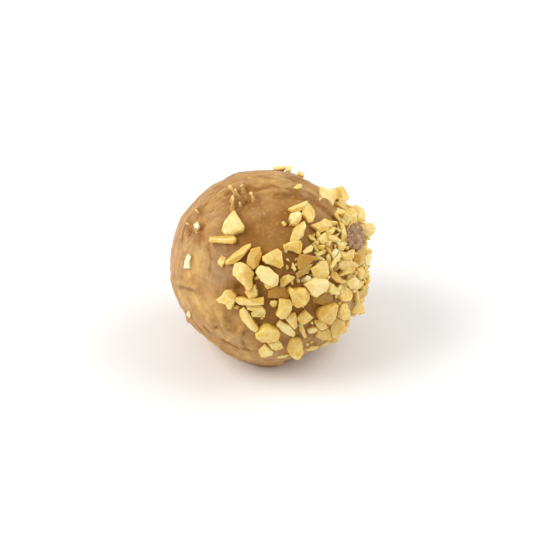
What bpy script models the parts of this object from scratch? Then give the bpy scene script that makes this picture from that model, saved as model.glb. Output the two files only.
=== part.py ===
"""Chocolate truffle: a ball with a thick, uneven caramel-coloured coating, whose right side is
dressed with chopped nuts. It is one fused solid, standing on a small flat spot.

Units are metres and +Z is up. The origin is the centre of the flat spot.

Places on the ball are given in millimetres on its face, the side that looks forward and up: right
and up from the middle of the face, with the third axis pointing straight out of it.
"""

import math

import bmesh
import bpy
import numpy as np
from mathutils import Matrix, Vector

MM = 0.001
NAME = "truffle"

# Driving sizes, in millimetres
BALL_RADIUS = 16.2
CENTRE_HEIGHT = 14.6
FACE_TILT_DEG = 55.0
BODY_SEGMENTS = 18
CUT_WITHIN = 0.001

# The chocolate that ran down and set as a low lip round the flat spot
FOOT_HEIGHT = 1.1
FOOT_OUT = 0.45
FOOT_WAVES = ((2, 0.35, 250.0), (3, 0.3, 20.0), (5, 0.2, 130.0))

# Swells and hollows of the coating: right, up, out, spread, height
SWELLS = (
    (-14.0, 8.1, 0.0, 2.6, 0.35),
    (-9.3, 13.2, 0.0, 5.0, 0.14),
    (-14.7, -6.8, 0.0, 2.4, -0.6),
    (-10.8, -12.1, 0.0, 3.6, -1.35),
    (-7.3, -14.4, 0.0, 2.2, -0.35),
    (0.6, -16.2, 0.0, 2.6, 0.2),
    (2.4, -16.0, 0.0, 0.9, 0.4),
    (4.5, -15.5, 0.0, 1.4, -1.2),
    (-13.2, -9.2, 0.0, 1.1, 0.55),
    (7.6, 14.3, 0.0, 2.4, -0.3),
    (7.0, -14.6, 0.0, 2.2, -0.2),
    (14.5, 2.0, 6.0, 7.0, 0.55),
    (15.2, 6.6, 0.0, 3.2, 0.6),
    (10.5, -8.0, 9.0, 4.0, 0.3),
    (13.0, 4.0, -9.0, 6.0, 0.4),
    (-3.4, 11.6, 10.8, 2.0, -0.3),
    (-2.3, 13.6, 8.5, 1.4, 0.3),
    (0.8, 6.5, 14.8, 3.4, -0.25),
    (-4.7, -4.2, 14.9, 1.6, -0.35),
    (-9.5, 3.0, 12.8, 3.2, 0.2),
    (-7.5, -8.0, 11.9, 2.6, 0.22),
    (-5.5, -9.3, 12.1, 1.3, -0.3),
    (-2.0, -3.0, -15.8, 6.0, 0.25),
    (-11.0, 5.0, -10.8, 4.0, -0.3),
    (3.0, 10.0, -12.4, 3.6, 0.3),
    (-6.0, 12.0, -9.0, 2.4, -0.25),
)

# Lips and strokes left by the dipping, as lines on the face: spread, height, points (right, up)
RIDGES = (
    (0.9, 0.55, ((1.5, 12.0), (4.0, 12.4), (6.5, 12.0), (9.8, 10.5), (11.5, 8.5))),
    (0.8, 0.42, ((-2.8, 13.7), (1.0, 14.6), (5.0, 12.9))),
    (0.7, 0.14, ((-7.0, 14.7), (-5.4, 15.4), (-4.2, 15.6))),
    (0.8, 0.42, ((-2.2, 11.4), (-1.7, 10.0), (-0.7, 8.4))),
    (0.8, 0.5, ((-6.8, -8.3), (-6.6, -9.6), (-5.8, -10.3))),
    (0.8, 0.35, ((-15.8, -2.2), (-13.7, -2.8), (-11.4, -3.4))),
    (0.9, 0.42, ((-12.6, -9.8), (-8.0, -13.0), (-4.4, -15.4))),
)

# Peaks that the coating pulled up when the ball was lifted off: right, up, height, foot radius
PEAKS = (
    (-5.4, 12.9, 1.3, 0.6),
    (-3.3, 13.4, 1.2, 0.55),
    (-4.4, 12.3, 0.9, 0.5),
    (-2.2, 11.2, 1.2, 0.6),
)
PEAK_SUNK = 0.5
PEAK_SIDES = 7
PEAK_TIP_SHARE = 0.3
PEAK_LEAN = np.array((0.0, 0.3, 0.0))

# Chopped nuts that show on the face, read from a grid of six steps to a millimetre laid over it,
# whose middle is (266, 266): lift, thickness, then the outline's corners, counted right and down.
# The last row is a piece with brown skin on it.
GRID_STEP = 1.0 / 6.0
GRID_MIDDLE = 266.0
NUTS = (
    (0.2, 2.4, 234, 210, 231, 213, 225, 220, 221, 230, 224, 234, 231, 234, 241, 230, 243, 225, 237, 215),
    (0.5, 1.3, 209, 236, 220, 235, 231, 234, 235, 237, 234, 241, 231, 243, 217, 242, 208, 241),
    (0.4, 1.3, 250, 243, 250, 246, 244, 254, 239, 259, 234, 263, 225, 264, 225, 260, 233, 253, 244, 245),
    (0.1, 1.9, 251, 248, 259, 246, 261, 253, 258, 265, 253, 269, 246, 263, 247, 256),
    (0.0, 0.8, 221, 255, 225, 257, 224, 262, 221, 267, 218, 264, 217, 261),
    (0.2, 2.3, 262, 256, 270, 251, 277, 248, 281, 251, 283, 265, 280, 268, 273, 265, 265, 263, 262, 260),
    (0.3, 2.2, 240, 262, 234, 263, 232, 269, 232, 274, 238, 280, 244, 286, 246, 290, 249, 290,
     252, 285, 251, 280, 253, 273, 250, 268, 246, 264),
    (0.4, 2.6, 260, 265, 269, 267, 274, 272, 278, 275, 278, 281, 277, 285, 271, 286, 264, 283,
     260, 280, 255, 272, 257, 267),
    (-0.1, 1.4, 263, 282, 277, 281, 277, 285, 272, 287, 267, 289, 265, 287),
    (0.0, 1.5, 255, 284, 257, 291, 257, 295, 252, 300, 249, 299, 244, 292, 246, 289, 252, 285),
    (0.2, 1.9, 224, 290, 230, 290, 235, 295, 235, 300, 232, 306, 229, 309, 227, 308, 226, 304,
     219, 302, 216, 299, 221, 295),
    (0.5, 0.9, 236, 297, 242, 297, 248, 299, 263, 297, 263, 304, 255, 305, 244, 305, 238, 304, 234, 300),
    (0.1, 1.0, 245, 305, 256, 303, 261, 306, 265, 310, 265, 314, 255, 311, 247, 309),
    (-0.1, 1.0, 253, 310, 265, 312, 264, 317, 251, 316, 250, 313),
    (0.4, 1.4, 243, 307, 246, 310, 252, 320, 258, 329, 256, 332, 250, 329, 243, 322, 239, 315, 239, 310),
    (0.3, 2.5, 264, 326, 269, 326, 277, 330, 280, 334, 278, 340, 271, 342, 262, 343, 255, 337,
     255, 332, 260, 329),
    (0.0, 1.2, 267, 343, 278, 340, 281, 342, 283, 348, 275, 350, 271, 348),
    (0.2, 1.5, 264, 344, 273, 351, 272, 354, 268, 355, 266, 357, 263, 356, 261, 357, 258, 352, 260, 349),
    (0.3, 1.5, 280, 321, 284, 323, 290, 325, 295, 333, 294, 337, 290, 336, 280, 330, 276, 325),
    (0.2, 2.5, 292, 338, 300, 338, 302, 344, 303, 352, 298, 360, 295, 359, 290, 355, 287, 350, 289, 341),
    (0.0, 0.8, 304, 347, 309, 345, 319, 346, 316, 349, 309, 350, 305, 350),
    (0.1, 1.2, 311, 327, 314, 326, 318, 329, 314, 334, 308, 332, 307, 329),
    (0.0, 0.9, 298, 319, 301, 321, 303, 327, 307, 337, 304, 338, 299, 330),
    (0.3, 1.1, 288, 208, 293, 205, 300, 203, 307, 200, 309, 203, 303, 209, 297, 211, 292, 211),
    (0.4, 0.9, 307, 201, 311, 205, 314, 209, 315, 215, 312, 221, 308, 222, 304, 216, 301, 213, 304, 207),
    (0.3, 2.0, 290, 213, 299, 211, 301, 215, 301, 218, 297, 224, 290, 223, 291, 220, 289, 217),
    (0.3, 1.5, 304, 220, 306, 225, 304, 231, 303, 235, 297, 241, 290, 241, 291, 235, 294, 227, 299, 223),
    (0.0, 1.7, 296, 240, 300, 240, 302, 243, 301, 252, 299, 253, 291, 250, 285, 250, 283, 246, 287, 242),
    (0.1, 1.2, 302, 251, 306, 247, 311, 244, 313, 247, 311, 251, 304, 254),
    (0.3, 1.3, 311, 224, 320, 221, 324, 218, 330, 220, 331, 225, 325, 230, 320, 232, 316, 228),
    (0.4, 1.1, 331, 225, 336, 228, 333, 232, 330, 235, 325, 234, 326, 229),
    (0.5, 1.0, 324, 232, 327, 236, 328, 240, 323, 244, 320, 242, 317, 238, 320, 235),
    (0.4, 0.9, 326, 234, 335, 235, 341, 240, 340, 243, 333, 241, 328, 240),
    (-0.3, 1.3, 329, 241, 333, 242, 334, 247, 332, 257, 326, 252, 325, 246),
    (0.1, 1.0, 292, 262, 294, 264, 296, 269, 294, 271, 291, 267),
    (-0.1, 1.3, 299, 253, 317, 256, 311, 262, 300, 270, 297, 268, 297, 259),
    (0.0, 1.1, 295, 273, 304, 265, 312, 263, 311, 269, 304, 274, 297, 278),
    (0.1, 1.4, 288, 274, 295, 277, 289, 282, 284, 286, 280, 284, 280, 279, 283, 276),
    (0.5, 2.4, 315, 278, 327, 279, 329, 284, 326, 290, 320, 294, 315, 297, 312, 295, 309, 290, 305, 285),
    (0.1, 1.0, 304, 278, 307, 275, 310, 276, 311, 280, 306, 282),
    (0.2, 2.4, 299, 288, 305, 288, 310, 294, 309, 300, 304, 305, 298, 308, 293, 305, 291, 297,
     288, 291, 290, 287, 295, 290),
    (0.3, 1.9, 279, 299, 290, 300, 292, 304, 291, 310, 286, 318, 280, 319, 276, 315, 278, 308),
    (0.2, 1.6, 290, 314, 295, 313, 297, 320, 297, 327, 294, 329, 290, 325, 285, 319),
    (0.2, 1.4, 305, 310, 313, 317, 310, 320, 302, 325, 298, 321, 297, 317, 301, 313),
    (-0.3, 1.4, 326, 291, 333, 295, 331, 303, 326, 306, 313, 302, 311, 297, 320, 294),
    (0.3, 2.5, 337, 304, 339, 306, 336, 314, 330, 325, 320, 320, 318, 314, 320, 310, 327, 306),
    (0.1, 1.9, 334, 315, 338, 317, 344, 321, 348, 331, 340, 334, 334, 338, 330, 336, 329, 328, 331, 321),
    (0.4, 1.6, 340, 303, 346, 302, 350, 311, 349, 319, 343, 320, 338, 317, 338, 310),
    (0.1, 1.1, 314, 320, 321, 319, 326, 324, 328, 328, 321, 330, 316, 327),
    (0.0, 1.6, 319, 330, 328, 329, 334, 333, 331, 339, 322, 340, 315, 336, 315, 333),
    (0.0, 0.8, 319, 345, 325, 341, 330, 340, 326, 345, 320, 347),
    (0.2, 1.3, 349, 304, 353, 301, 358, 301, 363, 304, 365, 312, 360, 315, 353, 313, 350, 311),
    (0.2, 1.8, 367, 284, 370, 287, 368, 292, 361, 299, 358, 301, 353, 300, 355, 292, 360, 288),
    (0.4, 1.7, 354, 276, 359, 280, 356, 289, 350, 289, 345, 283, 345, 281, 350, 278),
    (0.2, 1.3, 329, 283, 334, 285, 339, 290, 339, 294, 330, 294, 328, 291),
    (0.1, 1.8, 341, 284, 347, 287, 352, 290, 354, 294, 351, 300, 342, 301, 338, 297, 339, 291),
    (0.5, 1.2, 311, 268, 316, 265, 320, 261, 326, 260, 328, 266, 329, 273, 325, 278, 315, 278, 313, 273),
    (0.4, 1.2, 338, 263, 343, 260, 350, 260, 354, 265, 355, 270, 349, 273, 342, 270, 337, 266),
    (0.2, 1.4, 356, 249, 362, 245, 365, 248, 364, 258, 361, 265, 356, 267, 352, 259, 354, 253),
    (0.1, 1.4, 365, 244, 369, 248, 372, 253, 371, 259, 367, 266, 363, 265, 363, 255, 364, 248),
    (0.2, 1.2, 356, 268, 361, 266, 366, 273, 363, 278, 360, 279, 356, 274),
    (0.0, 1.0, 360, 280, 364, 285, 359, 288, 357, 284),
    (0.2, 1.3, 340, 250, 346, 252, 351, 249, 355, 249, 353, 257, 350, 260, 343, 260, 340, 255),
    (0.2, 1.3, 360, 222, 372, 222, 376, 228, 373, 234, 366, 238, 361, 233),
    (0.3, 1.2, 355, 203, 363, 208, 366, 215, 363, 222, 358, 222, 356, 214, 353, 206),
    (0.3, 1.3, 352, 206, 356, 210, 357, 222, 350, 222, 346, 226, 341, 220, 345, 212),
    (0.4, 1.2, 320, 186, 324, 187, 329, 190, 332, 187, 337, 190, 336, 198, 331, 208, 326, 206,
     321, 200, 319, 192),
    (0.1, 1.4, 335, 187, 341, 185, 346, 189, 349, 198, 344, 202, 340, 203, 335, 200, 337, 192),
    (0.1, 1.2, 335, 202, 344, 201, 347, 208, 345, 213, 340, 208),
    (0.3, 1.0, 340, 221, 343, 224, 347, 235, 345, 243, 341, 240, 341, 229),
    (-0.1, 1.1, 336, 222, 340, 221, 341, 229, 340, 234, 336, 233),
    (0.3, 0.9, 352, 220, 353, 224, 349, 231, 347, 235, 346, 229),
    (0.4, 1.0, 335, 241, 345, 242, 346, 246, 343, 250, 339, 249, 338, 245),
    (0.5, 0.9, 335, 248, 338, 250, 336, 254, 333, 258, 331, 253),
    (0.6, 0.9, 339, 252, 341, 256, 336, 262, 332, 268, 329, 267, 334, 258),
    (0.2, 0.9, 328, 253, 330, 258, 330, 263, 327, 261, 326, 256),
    (0.0, 1.2, 332, 269, 337, 273, 343, 280, 343, 284, 335, 281, 330, 276),
    (0.1, 1.0, 347, 274, 355, 275, 351, 279, 345, 281),
    (0.0, 1.2, 334, 262, 338, 264, 338, 269, 334, 271, 331, 266),
    (0.5, 0.9, 293, 187, 297, 183, 301, 184, 302, 187, 296, 189),
    (0.0, 0.9, 197, 221, 199, 226, 197, 230, 194, 229, 193, 225),
    (0.1, 1.1, 187, 253, 190, 256, 189, 262, 190, 268, 182, 268, 184, 261, 185, 256),
    (-0.35, 1.2, 267, 297, 268, 290, 273, 286, 280, 285, 286, 288, 289, 293, 288, 298, 277, 298),
    (0.5, 2.2, 354, 223, 358, 221, 361, 229, 366, 236, 366, 245, 360, 248, 351, 249, 345, 241, 347, 232),
)

# How a piece lies: how far its middle is raised, how deep its underside is sunk in the coating, and
# how far it follows the slope of the ball
LIFT_SHARE = 0.24
SUNK = 0.35
UNDERSIDE_SHARE = 0.75
BELLY_HEIGHT = 0.1
CROWN_SHARE = 0.86
SLOPE_SHARE = 0.75
MOST_SLOPE = 1.1
CROWN_SHIFT = 0.27
VIEW_DISTANCE = 741.0
LEAST_ACROSS = 0.1

# The breaks across a piece's outer face: how steep, and how far from its middle each one starts
BREAKS = 3
BREAK_SLOPE = (0.4, 1.1)
BREAK_START = (0.0, 0.7)
BREAK_JITTER = 0.6
AXIS_REACH = 1.4

# Nuts round the side that the face hides, placed by a seeded rule inside a round patch
BACK_SEED = 7
BACK_OUTLINE_SEED = 2000
BACK_LEAST_DEPTH = 0.1
BACK_TRIES = 3000
BACK_PATCH = ((0.85, -0.35, 0.2), 75.0)
BACK_LEAST_GAP = 1.95
BACK_LEAST_HEIGHT = 3.6
BACK_LONG = (3.7, 1.9)
BACK_WIDE_SHARE = (0.5, 0.85)
BACK_THICK_SHARE = (0.5, 0.85)
BACK_LEAST_THICK = 0.9
BACK_LEAN = 0.3
BACK_CORNERS = (5, 8)
CORNER_SHIFT = 0.3
CORNER_REACH = (0.85, 1.1)

FACE_TO_WORLD = Matrix.Translation((0, 0, CENTRE_HEIGHT)) @ Matrix.Rotation(
    math.radians(FACE_TILT_DEG), 4, "X"
)


def clear_scene():
    for item in list(bpy.data.objects):
        bpy.data.objects.remove(item, do_unlink=True)


def new_collection(name):
    made = bpy.data.collections.new(name)
    bpy.context.scene.collection.children.link(made)
    return made


def coating_material():
    made = bpy.data.materials.new("coating")
    made.use_nodes = True
    shader = made.node_tree.nodes["Principled BSDF"]
    shader.inputs["Base Color"].default_value = (0.52, 0.3, 0.13, 1.0)
    shader.inputs["Roughness"].default_value = 0.42
    shader.inputs["Metallic"].default_value = 0.0
    return made


def unit(vectors):
    return vectors / np.linalg.norm(vectors, axis=-1, keepdims=True)


def on_ball(right, up):
    """The point of the plain ball behind this place on the face."""
    out = math.sqrt(max(BALL_RADIUS**2 - right**2 - up**2, 0.0))
    return np.array((right, up, out))


def swell(directions, right, up, out, spread, height):
    """A round swell: height x exp(-(distance / spread)^2), with the distance along a chord."""
    middle = unit(np.array((right, up, out))) * BALL_RADIUS
    distance = np.linalg.norm(directions * BALL_RADIUS - middle, axis=1)
    return height * np.exp(-((distance / spread) ** 2))


def ridge(directions, spread, height, points):
    """A lip along a line of points: the same bell curve, on the distance to the nearest stretch."""
    here = directions * BALL_RADIUS
    ends = [on_ball(*point) for point in points]
    nearest = np.full(len(here), np.inf)
    for start, end in zip(ends, ends[1:]):
        run = end - start
        share = np.clip((here - start) @ run / (run @ run), 0.0, 1.0)
        gap = here - start - share[:, None] * run
        nearest = np.minimum(nearest, np.linalg.norm(gap, axis=1))
    return height * np.exp(-((nearest / spread) ** 2))


def foot(directions):
    """The lip at the flat spot: it fades with height, and is wider on some headings than others."""
    tilt = math.radians(FACE_TILT_DEG)
    above = CENTRE_HEIGHT + BALL_RADIUS * (
        directions[:, 1] * math.sin(tilt) + directions[:, 2] * math.cos(tilt)
    )
    forward = directions[:, 1] * math.cos(tilt) - directions[:, 2] * math.sin(tilt)
    heading = np.arctan2(forward, directions[:, 0])
    wave = sum(
        share * np.cos(count * (heading - math.radians(lag)))
        for count, share, lag in FOOT_WAVES
    )
    fade = np.exp(-((np.maximum(above, 0.0) / FOOT_HEIGHT) ** 2))
    return FOOT_OUT * (1.0 + wave) * fade


def coating_radius(directions):
    """How far the coating reaches from the ball's centre, in each direction."""
    radius = np.full(len(directions), BALL_RADIUS)
    for row in SWELLS:
        radius += swell(directions, *row)
    for row in RIDGES:
        radius += ridge(directions, *row)
    return radius + foot(directions)


def clean_solid(mesh):
    """Keeps the largest closed body: loose scraps go, and so do sealed hollows inside it."""
    bm = bmesh.new()
    bm.from_mesh(mesh)
    bm.verts.ensure_lookup_table()
    unseen = set(bm.verts)
    islands = []
    while unseen:
        island = set()
        edge_of_search = [unseen.pop()]
        while edge_of_search:
            vert = edge_of_search.pop()
            island.add(vert)
            for edge in vert.link_edges:
                other = edge.other_vert(vert)
                if other in unseen:
                    unseen.remove(other)
                    edge_of_search.append(other)
        islands.append(island)
    islands.sort(key=len)
    for island in islands[:-1]:
        bmesh.ops.delete(bm, geom=list(island), context="VERTS")
    bm.to_mesh(mesh)
    bm.free()
    return len(islands) - 1


def make_ball(collection, material):
    """The coated ball: a cube divided into a grid, each point pushed out to the coating."""
    bm = bmesh.new()
    bmesh.ops.create_cube(bm, size=2.0)
    bmesh.ops.subdivide_edges(
        bm, edges=bm.edges[:], cuts=BODY_SEGMENTS - 1, use_grid_fill=True
    )
    corners = np.array([vert.co for vert in bm.verts])
    # The tangent spaces the grid's points evenly over the ball.
    directions = unit(np.tan(corners * math.pi / 4.0))
    points = directions * coating_radius(directions)[:, None]
    for vert, point in zip(bm.verts, points):
        vert.co = FACE_TO_WORLD @ Vector(point) * MM
    cut = bmesh.ops.bisect_plane(
        bm,
        geom=bm.verts[:] + bm.edges[:] + bm.faces[:],
        dist=CUT_WITHIN * MM,
        plane_co=(0, 0, 0),
        plane_no=(0, 0, -1),
        clear_outer=True,
    )
    rim = [item for item in cut["geom_cut"] if isinstance(item, bmesh.types.BMEdge)]
    bmesh.ops.edgeloop_fill(bm, edges=rim)
    bmesh.ops.recalc_face_normals(bm, faces=bm.faces[:])
    mesh = bpy.data.meshes.new(NAME)
    bm.to_mesh(mesh)
    bm.free()
    mesh.materials.append(material)
    made = bpy.data.objects.new(NAME, mesh)
    collection.objects.link(made)
    return made


def from_grid(numbers):
    """Corners counted on the grid, as millimetres right and up on the face."""
    corners = np.array(numbers, float).reshape(-1, 2) - GRID_MIDDLE
    return corners * (GRID_STEP, -GRID_STEP)


def about_centroid(corners):
    """The corners anticlockwise about the centroid of the outline, and the centroid."""
    after = np.roll(corners, -1, axis=0)
    cross = corners[:, 0] * after[:, 1] - corners[:, 1] * after[:, 0]
    centroid = ((corners + after) * cross[:, None]).sum(axis=0) / (3.0 * cross.sum())
    around = corners - centroid
    return (around if cross.sum() > 0 else around[::-1]), centroid


def shape_axes(corners):
    """The outline's long and short axes, each divided by its reach."""
    (xx, xy), (_, yy) = corners.T @ corners / len(corners)
    turn = 0.5 * math.atan2(2.0 * xy, xx - yy)
    axes = np.array(((math.cos(turn), math.sin(turn)), (-math.sin(turn), math.cos(turn))))
    reach = AXIS_REACH * np.sqrt(((corners @ axes.T) ** 2).mean(axis=0))
    return axes / reach[:, None]


def breaks_of(index):
    """The planes broken across a piece: slope along each axis, and height over its middle."""
    rng = np.random.default_rng(index)
    heading = rng.uniform(0.0, 2.0 * math.pi) + np.arange(BREAKS) * 2.0 * math.pi / BREAKS
    heading += rng.uniform(-BREAK_JITTER, BREAK_JITTER, BREAKS)
    slope = rng.uniform(*BREAK_SLOPE, BREAKS)
    start = rng.uniform(*BREAK_START, BREAKS)
    return np.stack((-slope * np.cos(heading), -slope * np.sin(heading), 1.0 + slope * start), 1)


def make_nut(collection, index, corners, thick, sunk, frame):
    """One piece of nut: an underside, a belly as wide as the outline, and a broken crown."""
    planes = breaks_of(index)
    spots = CROWN_SHARE * corners @ shape_axes(corners).T
    crown = np.minimum(1.0, (spots @ planes[:, :2].T + planes[:, 2]).min(axis=1))
    crown = np.maximum(crown, 2.0 * BELLY_HEIGHT) * thick / 2.0
    flat = np.ones(len(corners))
    rings = (
        (UNDERSIDE_SHARE, flat * -(thick / 2.0 + sunk)),
        (1.0, flat * BELLY_HEIGHT * thick / 2.0),
        (CROWN_SHARE, crown),
    )
    to_metres = Matrix.Scale(MM, 4) @ FACE_TO_WORLD
    bm = bmesh.new()
    made = []
    for share, heights in rings:
        points = np.column_stack((share * corners, heights)) @ frame[:3, :3].T + frame[:3, 3]
        made.append([bm.verts.new(to_metres @ Vector(point)) for point in points])
    for lower, upper in zip(made, made[1:]):
        for k, vert in enumerate(lower):
            after = (k + 1) % len(lower)
            bm.faces.new((vert, lower[after], upper[after], upper[k]))
    bm.faces.new(made[0][::-1])
    bm.faces.new(made[-1])
    bmesh.ops.triangulate(bm, faces=bm.faces[:])
    mesh = bpy.data.meshes.new(f"nut_{index:03d}")
    bm.to_mesh(mesh)
    bm.free()
    collection.objects.link(bpy.data.objects.new(mesh.name, mesh))


def lying_frame(centroid, thick, height):
    """A placement tilted to follow the ball's slope, so that the piece's crown, seen squarely from
    the view distance, has the outline's place on the face.
    """
    across = max(math.hypot(*centroid), LEAST_ACROSS)
    reach = coating_radius(unit(on_ball(*centroid))[None, :])[0] + height
    out = math.sqrt(max(reach**2 - across**2, 0.0))
    slope = SLOPE_SHARE * min(across / max(out, LEAST_ACROSS), MOST_SLOPE)
    tilt = -slope * centroid / across
    frame = np.eye(4)
    frame[2, :2] = tilt
    outward = unit(np.array((-tilt[0], -tilt[1], 1.0)))
    nearer = 1.0 - out / VIEW_DISTANCE
    frame[:3, 2] = outward
    frame[:3, 3] = (*(nearer * centroid - CROWN_SHIFT * thick * outward[:2]), out)
    return frame


def standing_frame(centre, outward):
    """A placement whose third axis points outward."""
    along = unit(np.cross((0.0, 1.0, 0.0), outward))
    frame = np.eye(4)
    frame[:3, :3] = np.column_stack((along, np.cross(outward, along), outward))
    frame[:3, 3] = centre
    return frame


def face_nuts(collection):
    """The nuts that show on the face, each where the table puts it."""
    placed = []
    for index, (lift, thick, *numbers) in enumerate(NUTS):
        corners, centroid = about_centroid(from_grid(numbers))
        frame = lying_frame(centroid, thick, LIFT_SHARE * thick + lift)
        make_nut(collection, index, corners, thick, max(lift, 0.0) + SUNK, frame)
        placed.append(frame[:3, 3])
    return placed


def random_outline(rng, long, wide):
    """Corners at uneven angles round an ellipse of this length and width, turned at random."""
    count = rng.integers(*BACK_CORNERS)
    angle = (np.arange(count) + rng.uniform(-CORNER_SHIFT, CORNER_SHIFT, count)) / count
    reach = rng.uniform(*CORNER_REACH, count) / 2.0
    around = 2.0 * math.pi * angle
    flat = np.column_stack((long * np.cos(around), wide * np.sin(around))) * reach[:, None]
    turn = rng.uniform(0.0, math.pi)
    return flat @ np.array(((math.cos(turn), math.sin(turn)), (-math.sin(turn), math.cos(turn))))


def back_nuts(collection, placed):
    """The nuts round the hidden side: random spots in the patch, clear of those already placed."""
    rng = np.random.default_rng(BACK_SEED)
    patch = unit(np.array(BACK_PATCH[0]))
    least = math.cos(math.radians(BACK_PATCH[1]))
    for _ in range(BACK_TRIES):
        direction = unit(rng.normal(size=3))
        share, width_share, thick_share = rng.random(3)
        lean = BACK_LEAN * rng.normal(size=3)
        if direction @ patch < least or direction[2] > -BACK_LEAST_DEPTH:
            continue
        index = len(placed)
        long = np.interp(share, (0, 1), BACK_LONG)
        wide = long * np.interp(width_share, (0, 1), BACK_WIDE_SHARE)
        thick = max(wide * np.interp(thick_share, (0, 1), BACK_THICK_SHARE), BACK_LEAST_THICK)
        centre = direction * (coating_radius(direction[None, :])[0] + LIFT_SHARE * thick)
        if (FACE_TO_WORLD @ Vector(centre)).z < BACK_LEAST_HEIGHT:
            continue
        if min(np.linalg.norm(centre - other) for other in placed) < BACK_LEAST_GAP:
            continue
        outline = random_outline(np.random.default_rng(BACK_OUTLINE_SEED + index), long, wide)
        corners, _ = about_centroid(outline)
        frame = standing_frame(centre, unit(direction + lean))
        make_nut(collection, index, corners, thick, SUNK, frame)
        placed.append(centre)


def pulled_peaks(collection):
    """Small cones at the top of the ball, where the coating was pulled up."""
    for index, (right, up, height, radius) in enumerate(PEAKS):
        bm = bmesh.new()
        bmesh.ops.create_cone(
            bm,
            cap_ends=True,
            segments=PEAK_SIDES,
            radius1=radius,
            radius2=radius * PEAK_TIP_SHARE,
            depth=height + PEAK_SUNK,
        )
        base = on_ball(right, up)
        reach = coating_radius(unit(base)[None, :])[0]
        middle = unit(base) * (reach + (height - PEAK_SUNK) / 2.0)
        placement = Matrix(standing_frame(middle, unit(unit(base) + PEAK_LEAN)).tolist())
        bm.transform(Matrix.Scale(MM, 4) @ FACE_TO_WORLD @ placement)
        mesh = bpy.data.meshes.new(f"peak_{index}")
        bm.to_mesh(mesh)
        bm.free()
        collection.objects.link(bpy.data.objects.new(mesh.name, mesh))


def fuse(ball, collection):
    """One union of the ball with everything in the collection, applied, the pieces then removed."""
    union = ball.modifiers.new("dressing", "BOOLEAN")
    union.operation = "UNION"
    union.operand_type = "COLLECTION"
    union.collection = collection
    union.solver = "MANIFOLD"
    bpy.context.view_layer.update()
    graph = bpy.context.evaluated_depsgraph_get()
    fused = bpy.data.meshes.new_from_object(ball.evaluated_get(graph))
    ball.modifiers.clear()
    ball.data = fused
    fused.name = NAME
    for item in list(collection.objects):
        bpy.data.objects.remove(item, do_unlink=True)
    bpy.data.collections.remove(collection)


def main():
    clear_scene()
    parts = new_collection(NAME)
    dressing = new_collection("dressing")
    ball = make_ball(parts, coating_material())
    placed = face_nuts(dressing)
    back_nuts(dressing, placed)
    pulled_peaks(dressing)
    fuse(ball, dressing)
    dropped = clean_solid(ball.data)
    print(f"{len(placed)} nuts, {len(ball.data.polygons)} faces, {dropped} loose scraps dropped")


main()
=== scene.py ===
# %% [markdown]
# # A chocolate truffle dressed with chopped nuts
# The real sweet is a ball dipped in caramel-coloured chocolate, with chopped nuts pressed into one
# side before the coating set. The packed model gives its solid at true size. This lesson makes the
# surfaces that show: the coating with its folds and strokes, some 125 pieces of nut, threads of
# chocolate that were pulled up, and crumbs. All of it stays inside the packed model's box.

# %% Load the packed model
import math

import bpy
import numpy as np
from mathutils import Matrix, Vector


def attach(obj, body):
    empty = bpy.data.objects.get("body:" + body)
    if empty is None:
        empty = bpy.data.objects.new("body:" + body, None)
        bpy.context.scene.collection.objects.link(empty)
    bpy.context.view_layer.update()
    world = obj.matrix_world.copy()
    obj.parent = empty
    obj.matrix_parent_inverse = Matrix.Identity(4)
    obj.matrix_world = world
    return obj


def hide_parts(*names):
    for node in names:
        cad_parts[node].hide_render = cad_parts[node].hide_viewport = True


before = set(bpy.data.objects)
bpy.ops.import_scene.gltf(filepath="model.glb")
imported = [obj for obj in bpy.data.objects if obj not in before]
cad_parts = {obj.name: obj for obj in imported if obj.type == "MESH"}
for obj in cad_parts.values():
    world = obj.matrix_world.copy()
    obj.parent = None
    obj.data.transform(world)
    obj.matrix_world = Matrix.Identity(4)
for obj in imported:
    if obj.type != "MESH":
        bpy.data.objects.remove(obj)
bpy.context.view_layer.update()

# %% [markdown]
# ## Where things are on the ball
# Everything is worked out in millimetres on the ball's face, the side that looks forward and up:
# right and up across the face, and a third axis straight out of it. A place on the face is easy to
# compare with the real thing, and one matrix carries the finished points to the packed model's
# frame. Working in the world's axes would mix each place with the tilt.

# %% The face and its tilt
MM = 0.001
BALL_RADIUS = 16.2
CENTRE_HEIGHT = 14.6
FACE_TILT_DEG = 55.0
FACE_TO_WORLD = Matrix.Translation((0, 0, CENTRE_HEIGHT)) @ Matrix.Rotation(
    math.radians(FACE_TILT_DEG), 4, "X"
)
FACE_TURN = np.array(FACE_TO_WORLD)[:3, :3]


def unit(vectors):
    """Each vector divided by its own length."""
    return vectors / np.linalg.norm(vectors, axis=-1, keepdims=True)


def to_world(points):
    """Face millimetres to the packed model's metres: turn by the tilt, lift, then scale."""
    return (points @ FACE_TURN.T + (0.0, 0.0, CENTRE_HEIGHT)) * MM


def on_ball(right, up):
    """The point of the plain ball behind a place on the face: out = root(R^2 - right^2 - up^2)."""
    return np.array((right, up, math.sqrt(max(BALL_RADIUS**2 - right**2 - up**2, 0.0))))


print("the middle of the face, in metres:", to_world(on_ball(0.0, 0.0)[None]).round(4).tolist()[0])

# %% [markdown]
# ## Camera, light and floor
# The camera looks square at the face from far off with a long lens, as a product photograph does.
# A wide lamp high on the left, a weaker one on the right, a faint one behind and a bright surround
# give soft light with weak shadows. The floor is plain and pale, and isn't part of the truffle.

# %% Camera
LENS_MM = 300.0
SENSOR_MM = 36.0
VIEW_WIDTH_MM = 88.9
CAMERA_DISTANCE = VIEW_WIDTH_MM * LENS_MM / SENSOR_MM
FARTHEST_SEEN = 20.0

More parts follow.
